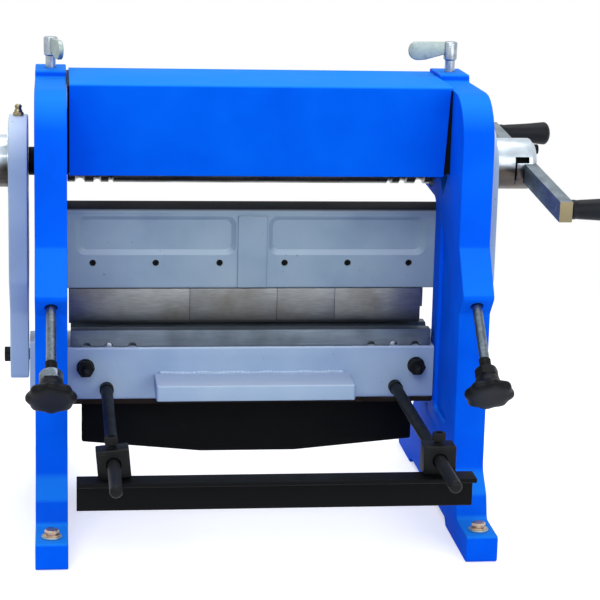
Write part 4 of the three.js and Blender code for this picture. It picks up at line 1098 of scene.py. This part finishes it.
def dress_rolls():
    pinch = node_box("upper_roll")[1].x
    finished(roll(journal, drive_end, (0, roll_z), wire_grooves), "turned_drive_roll", turned_steel, "crank",
             "drive_roll")
    for node, at in (("upper_roll", (0, upper_z)), ("bending_roll", (bend_y, bend_z))):
        finished(roll(small_journal, pinch, at), f"turned_{node}", turned_steel, node, node)


# Cranks and links
hub_low, hub_high = node_box("right_crank_hub")
link_low, link_high = node_box("right_link")
spindle_end = node_box("right_crank_bar")[1].x
hub_radius = 22.5
hub_chamfer = 4
hub_core = 18.4
eccentric_radius = 30
link_mid = (link_low.x + link_high.x) / 2
bar_thick = 11.3
bar_height = 17.7
bar_reach = 150
bar_drop = 4.5
bar_tilt = math.radians(4.3)
grip_inset = 8.812
grip_length = 49.5
screw_rise = 13
shade_sleeve_radius = 12.2


def tilted(obj):
    """Turns a piece drawn level about the drive roll's axis to the crank's stance in the photograph."""
    return moved(obj, Matrix.Translation((0, 0, roll_z)) @ Matrix.Rotation(bar_tilt, 4, "X"))


# Chrome: nearly white above, with a painted reflection darkening its lower side and painted shade in the slots
# milled into it
chromed = plated(
    "chromed_hub", ("#B2BEC9", "#C6D2DC", "#A4B0BB"), 0.3, 30, painted_reflection_below="#524C47",
    inside=((0, roll_y * MM, roll_z * MM), hub_core * MM, (hub_high.x - 5) * MM))


def crank_hub(side):
    """Turned hub with its eccentric, slotted for the bar, with a milled window and a sawn slit."""
    end = hub_high.x
    rim = end - hub_chamfer
    drum = turned([
        (link_high.x + 0.4, hub_radius - 0.8), (link_high.x + 1.2, hub_radius), (rim - 0.6, hub_radius),
        (rim + 0.4, hub_radius - 0.5), (end - 0.6, hub_radius - hub_chamfer),
        (end, hub_radius - hub_chamfer - 0.6)], "X", (0, roll_z), roll_facets)
    disc = rod(eccentric_radius, hub_low.x, link_high.x + 0.8, "X", (-eccentric_throw, roll_z), roll_facets)
    body = weld(drum, disc)
    bore = rod(journal + 0.3, hub_low.x - over, drive_end + 0.3, "X", (0, roll_z), bore_facets)
    slot_half = bar_height / 2 + seat_gap
    slot = tilted(block((end - bar_thick - seat_gap, -bar_reach, -bar_drop - slot_half),
                        (end + over, bar_reach, -bar_drop + slot_half)))
    window_x, outside = 231, -hub_radius - over
    window = rounded(block((window_x, outside, roll_z + 3.6), (window_x + 12.4, -15.7, roll_z + 9)), 0.8, 2)
    slit = block((window_x, outside, roll_z - 16.2), (window_x + 1.6, -13.5, roll_z + 9))
    return mirrored(rounded(cut(body, bore, slot, window, slit), 0.25, 1, 40), side)


def hub_screw(side):
    """Cap screw in the hub's end that holds the bar in its slot."""
    screw = together(moved(socket_head(4.4, 4.2), to_side), rod(2.8, -6, 0.2, "X", steps=stem_facets))
    return mirrored(tilted(shifted(screw, hub_high.x, 0, screw_rise)), side)


def journal_shade_sleeve(side):
    """Black sleeve on the roll's journal that keeps the link off the frame, blackened as painted shade for the
    journal in shadow there.
    """
    start, end, bore = frame_out + 0.5, link_low.x - 0.5, journal + 0.2
    ring = [(start, shade_sleeve_radius - 0.5), (start + 0.5, shade_sleeve_radius), (end - 0.5, shade_sleeve_radius),
            (end, shade_sleeve_radius - 0.5), (end, bore), (start, bore)]
    return mirrored(turned(ring + ring[:1], "X", (0, roll_z), bore_facets), side)


def crank_bar(side):
    """Flat bar with broken edges, and a riveted spindle at each end for its grip."""
    face = hub_high.x
    back = face - bar_thick
    bar = block((back, -bar_reach, -bar_drop - bar_height / 2), (face, bar_reach, -bar_drop + bar_height / 2))
    parts = [rounded(bar, 0.9, 2)]
    for _, end in ENDS:
        at = (end * (bar_reach - grip_inset), -bar_drop)
        parts.append(rod(4, face - 0.01, spindle_end, "X", at, screw_facets))
        parts.append(turned([(back - 0.8, 3), (back, 4.6)], "X", at, screw_facets))
    return mirrored(tilted(together(*parts)), side)


def grip(side, end):
    """Moulded grip that swells to its outer end, with a bead at its root and a shallow waist."""
    start = hub_high.x + seat_gap
    stop = start + grip_length
    bore, bead, dome = 4.4, 8.2, 6
    swell_steps, dome_steps = 12, 8
    profile = [(stop - 8, 0.05), (stop - 8, bore), (start, bore), (start, 7.4), (start + 0.8, bead),
               (start + 3, bead)]
    for k in range(swell_steps + 1):
        share = k / swell_steps
        along = start + 4 + (grip_length - 10) * share
        profile.append((along, 7.8 + 3 * share ** 0.8 - 0.5 * math.sin(math.pi * share)))
    for k in range(1, dome_steps + 1):
        angle = math.pi / 2 * k / dome_steps
        profile.append((stop - dome + dome * math.sin(angle), 10.8 * math.cos(angle) + 0.02))
    y = end * (bar_reach - grip_inset)
    return mirrored(tilted(turned(profile, "X", (y, -bar_drop), grip_facets)), side)


def link(side):
    """Flame-cut link: a broad strap round the eccentric that tapers to a shank with a rounded foot."""
    middle = -eccentric_throw
    strap_half = eccentric_radius + 22
    top, bottom = link_high.z, roll_z - 95
    shank = 18
    foot = pin_z - shank
    taper = bottom - (strap_half - shank)
    crown = 44
    body = prism([
        (middle - strap_half, top, crown), (middle + strap_half, top, crown), (middle + strap_half, bottom, 12),
        (middle + shank, taper, 12), (middle + shank, foot, 5), (middle - shank, foot, 5),
        (middle - shank, taper, 12), (middle - strap_half, bottom, 12),
    ], link_low.x, link_high.x, steps=24)
    rounded(body, 1.3, 3)
    bore = rod(eccentric_radius + 0.4, link_low.x - over, link_high.x + over, "X", (middle, roll_z), roll_facets)
    pin = rod(5.3, link_low.x - over, link_high.x + over, "X", (middle, pin_z), rod_facets)
    oil = rod(2.8, top - 8, top + over, "Z", (link_mid, middle), stem_facets)
    return mirrored(cut(body, bore, pin, oil), side)


def grease_nipple(side):
    """Nipple with its hexagon, neck and ball-ended tip."""
    base = link_high.z
    collar = shifted(hex_head(8, 3), link_mid, -eccentric_throw, base + seat_gap)
    tip = turned([(base + rise, radius) for rise, radius in (
        (-5, 2.5), (3, 2.5), (3.2, 3.5), (4.6, 3.4), (5.6, 2.8), (6.6, 2.6), (7.4, 3.0), (8.4, 3.1), (9.3, 2.6),
        (9.9, 1.6), (9.95, 0.6), (9.4, 0.1))], "Z", (link_mid, -eccentric_throw), screw_facets)
    return mirrored(together(collar, tip), side)


def link_bolt(side):
    """Low-headed cap screw that the link hangs on, with its hexagon socket."""
    low, high = node_box("right_link_bolt")
    seat = link_high.x + seat_gap
    shank = rod(5, low.x, seat + 0.1, "X", (0, 0), washer_facets)
    head = shifted(moved(socket_head(6.5, high.x - seat), to_side), seat)
    return mirrored(shifted(together(shank, head), 0, -eccentric_throw, pin_z), side)


def dress_cranks():
    for name, side in SIDES:
        finished(crank_hub(side), f"{name}_hub", chromed, "crank", f"{name}_crank_hub")
        finished(hub_screw(side), f"{name}_hub_screw", black_iron, "crank")
        # A black sleeve as painted shade on the journal between frame and link
        finished(journal_shade_sleeve(side), f"{name}_spacer", black_iron, "crank")
        finished(crank_bar(side), f"{name}_bar", bar_steel, "crank", f"{name}_crank_bar")
        for end_name, end in ENDS:
            node = f"{name}_{end_name}_grip"
            finished(grip(side, end), f"{name}_{end_name}_handle", grip_plastic, node, node)
        finished(link(side), f"{name}_link_plate", grey_enamel, f"{name}_link", f"{name}_link")
        finished(grease_nipple(side), f"{name}_nipple", brass, f"{name}_link", f"{name}_grease_nipple")
        finished(link_bolt(side), f"{name}_link_pin", black_iron, f"{name}_link", f"{name}_link_bolt")


# Adjusters and clamps. The screws, nuts and knobs are drawn along +Y, away from the knob.
knob_reach = 242
knob_thick = 15
knob_radius = 19.4
neck_length = 9
screw_radius = 5
nut_y = -knob_reach + knob_thick / 2 + neck_length + 0.3
nut_thick = 8
nut_hex = 16.6
nut_end = nut_y + nut_thick
lever_low, lever_high = node_box("right_clamp_lever")


def star_knob(side):
    """Moulded scalloped knob: every ring follows the lobes, and a conical neck rises from its back."""
    lobes = 8
    steps = 112
    lobe_depth = 0.85
    face = -knob_reach - knob_thick / 2
    neck_end = knob_thick + neck_length
    sections = [
        (5.3, 0.45), (5.1, 0.66), (5.4, 0.84), (6.1, 0.94), (7.2, 0.985), (8.8, 1.0), (10.6, 0.99), (12.0, 0.95),
        (12.9, 0.87), (13.4, 0.76)]
    neck = [(14.0, 13.2), (15.4, 11.8), (18.5, 10.4), (neck_end - 0.8, 9.4), (neck_end, 8.6)]
    rings = []
    for height, share in sections:
        ring = []
        for i in range(steps):
            angle = 2 * math.pi * i / steps
            swell = lobe_depth * math.cos(lobes * angle) * min(1, max(0, (share - 0.5) / 0.4))
            reach = knob_radius * share + swell
            ring.append((reach * math.cos(angle), face + height, reach * math.sin(angle)))
        rings.append(ring)
    for height, reach in neck:
        rings.append([(p.x * reach, face + height, p.y * reach) for p in circle(1, steps)])
    return on_screw(loft(rings), side)


def jam_nut(side):
    """Hexagon nut against the knob's neck."""
    return on_screw(moved(hex_head(nut_hex, nut_thick), Matrix.Translation((0, nut_y, 0)) @ to_rear), side)


def thread_end(side):
    """Blackened end of the screw's thread, beyond the nut."""
    return on_screw(threaded(screw_radius, 1.5, nut_end - 0.5, nut_end + 9, "Y", (0, 0), 28), side)


def adjusting_screw(side):
    """Long ground screw, smooth where it shows between its thread and the frame."""
    start, plain = nut_end + 8.8, screw_radius - 1
    profile = [(start, plain - 0.5), (start + 0.6, plain), (-12.3, plain)]
    return on_screw(turned(profile, "Y", (0, 0), washer_facets), side)


def lever_turn(side):
    """A clamp lever drawn along +X from its stem, turned as it stands in the photograph."""
    turn = math.radians(180 if side > 0 else -76)
    return Matrix.Translation((side * frame_mid, 0, 0)) @ Matrix.Rotation(turn, 4, "Z")


def lever_stem(side):
    """Plain turned stem under the lever's round hub."""
    low, top, hub = lever_low.z, lever_high.z, lug_top + 11
    stem = turned([
        (low, 3.9), (low + 0.6, 4.4), (hub - 1.2, 4.4), (hub, 5.8), (top - 1.4, 6), (top - 0.5, 5.6),
        (top, 4.8)], "Z", (0, 0), grip_facets)
    return moved(stem, lever_turn(side))


def lever_paddle(side):
    """Flat cast paddle flush with the hub's top, deeper towards its round end."""
    root, top = 4.5, lever_high.z - 0.3
    reach, end_deep, root_deep, half_thick = 37, 16.6, 10.6, 2.2
    body = prism([
        (root, top), (reach, top, end_deep / 2.3), (reach, top - end_deep, end_deep / 2.1),
        (reach - end_deep * 0.9, top - end_deep * 0.94, 9), (root, top - root_deep)], -half_thick, half_thick, "Y")
    return moved(rounded(body, 0.9, 3), lever_turn(side))


def dress_adjusters():
    for name, side in SIDES:
        adjuster, clamp, lever = f"{name}_adjuster", f"{name}_clamp", f"{name}_clamp_lever"
        finished(star_knob(side), f"{name}_knob", bakelite, adjuster, f"{name}_star_knob")
        finished(adjusting_screw(side), f"{name}_screw", screw_steel, adjuster, f"{name}_adjusting_screw")
        finished(jam_nut(side), f"{name}_jam_nut", screw_steel if side < 0 else black_iron, adjuster)
        finished(thread_end(side), f"{name}_thread_end", black_iron, adjuster)
        finished(lever_stem(side), f"{name}_lever_stem", zinc, clamp, lever)
        finished(lever_paddle(side), f"{name}_lever_paddle", matt_zinc, clamp, lever)


def finish_inner_parts():
    """The bushes, blocks and gears keep their solids, and take a worked metal's finish."""
    bearings = [f"{side}_{name}" for name in ("bush", "upper_bearing", "bending_bearing") for side, _ in SIDES]
    for finish, nodes in ((bronze, bearings), (ground_steel, ("drive_gear", "upper_gear"))):
        for node in nodes:
            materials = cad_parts[node].data.materials
            materials.clear()
            materials.append(finish)


aim_camera()
build_stage()
dress_stand()
dress_bed()
dress_rolls()
dress_cranks()
dress_adjusters()
finish_inner_parts()
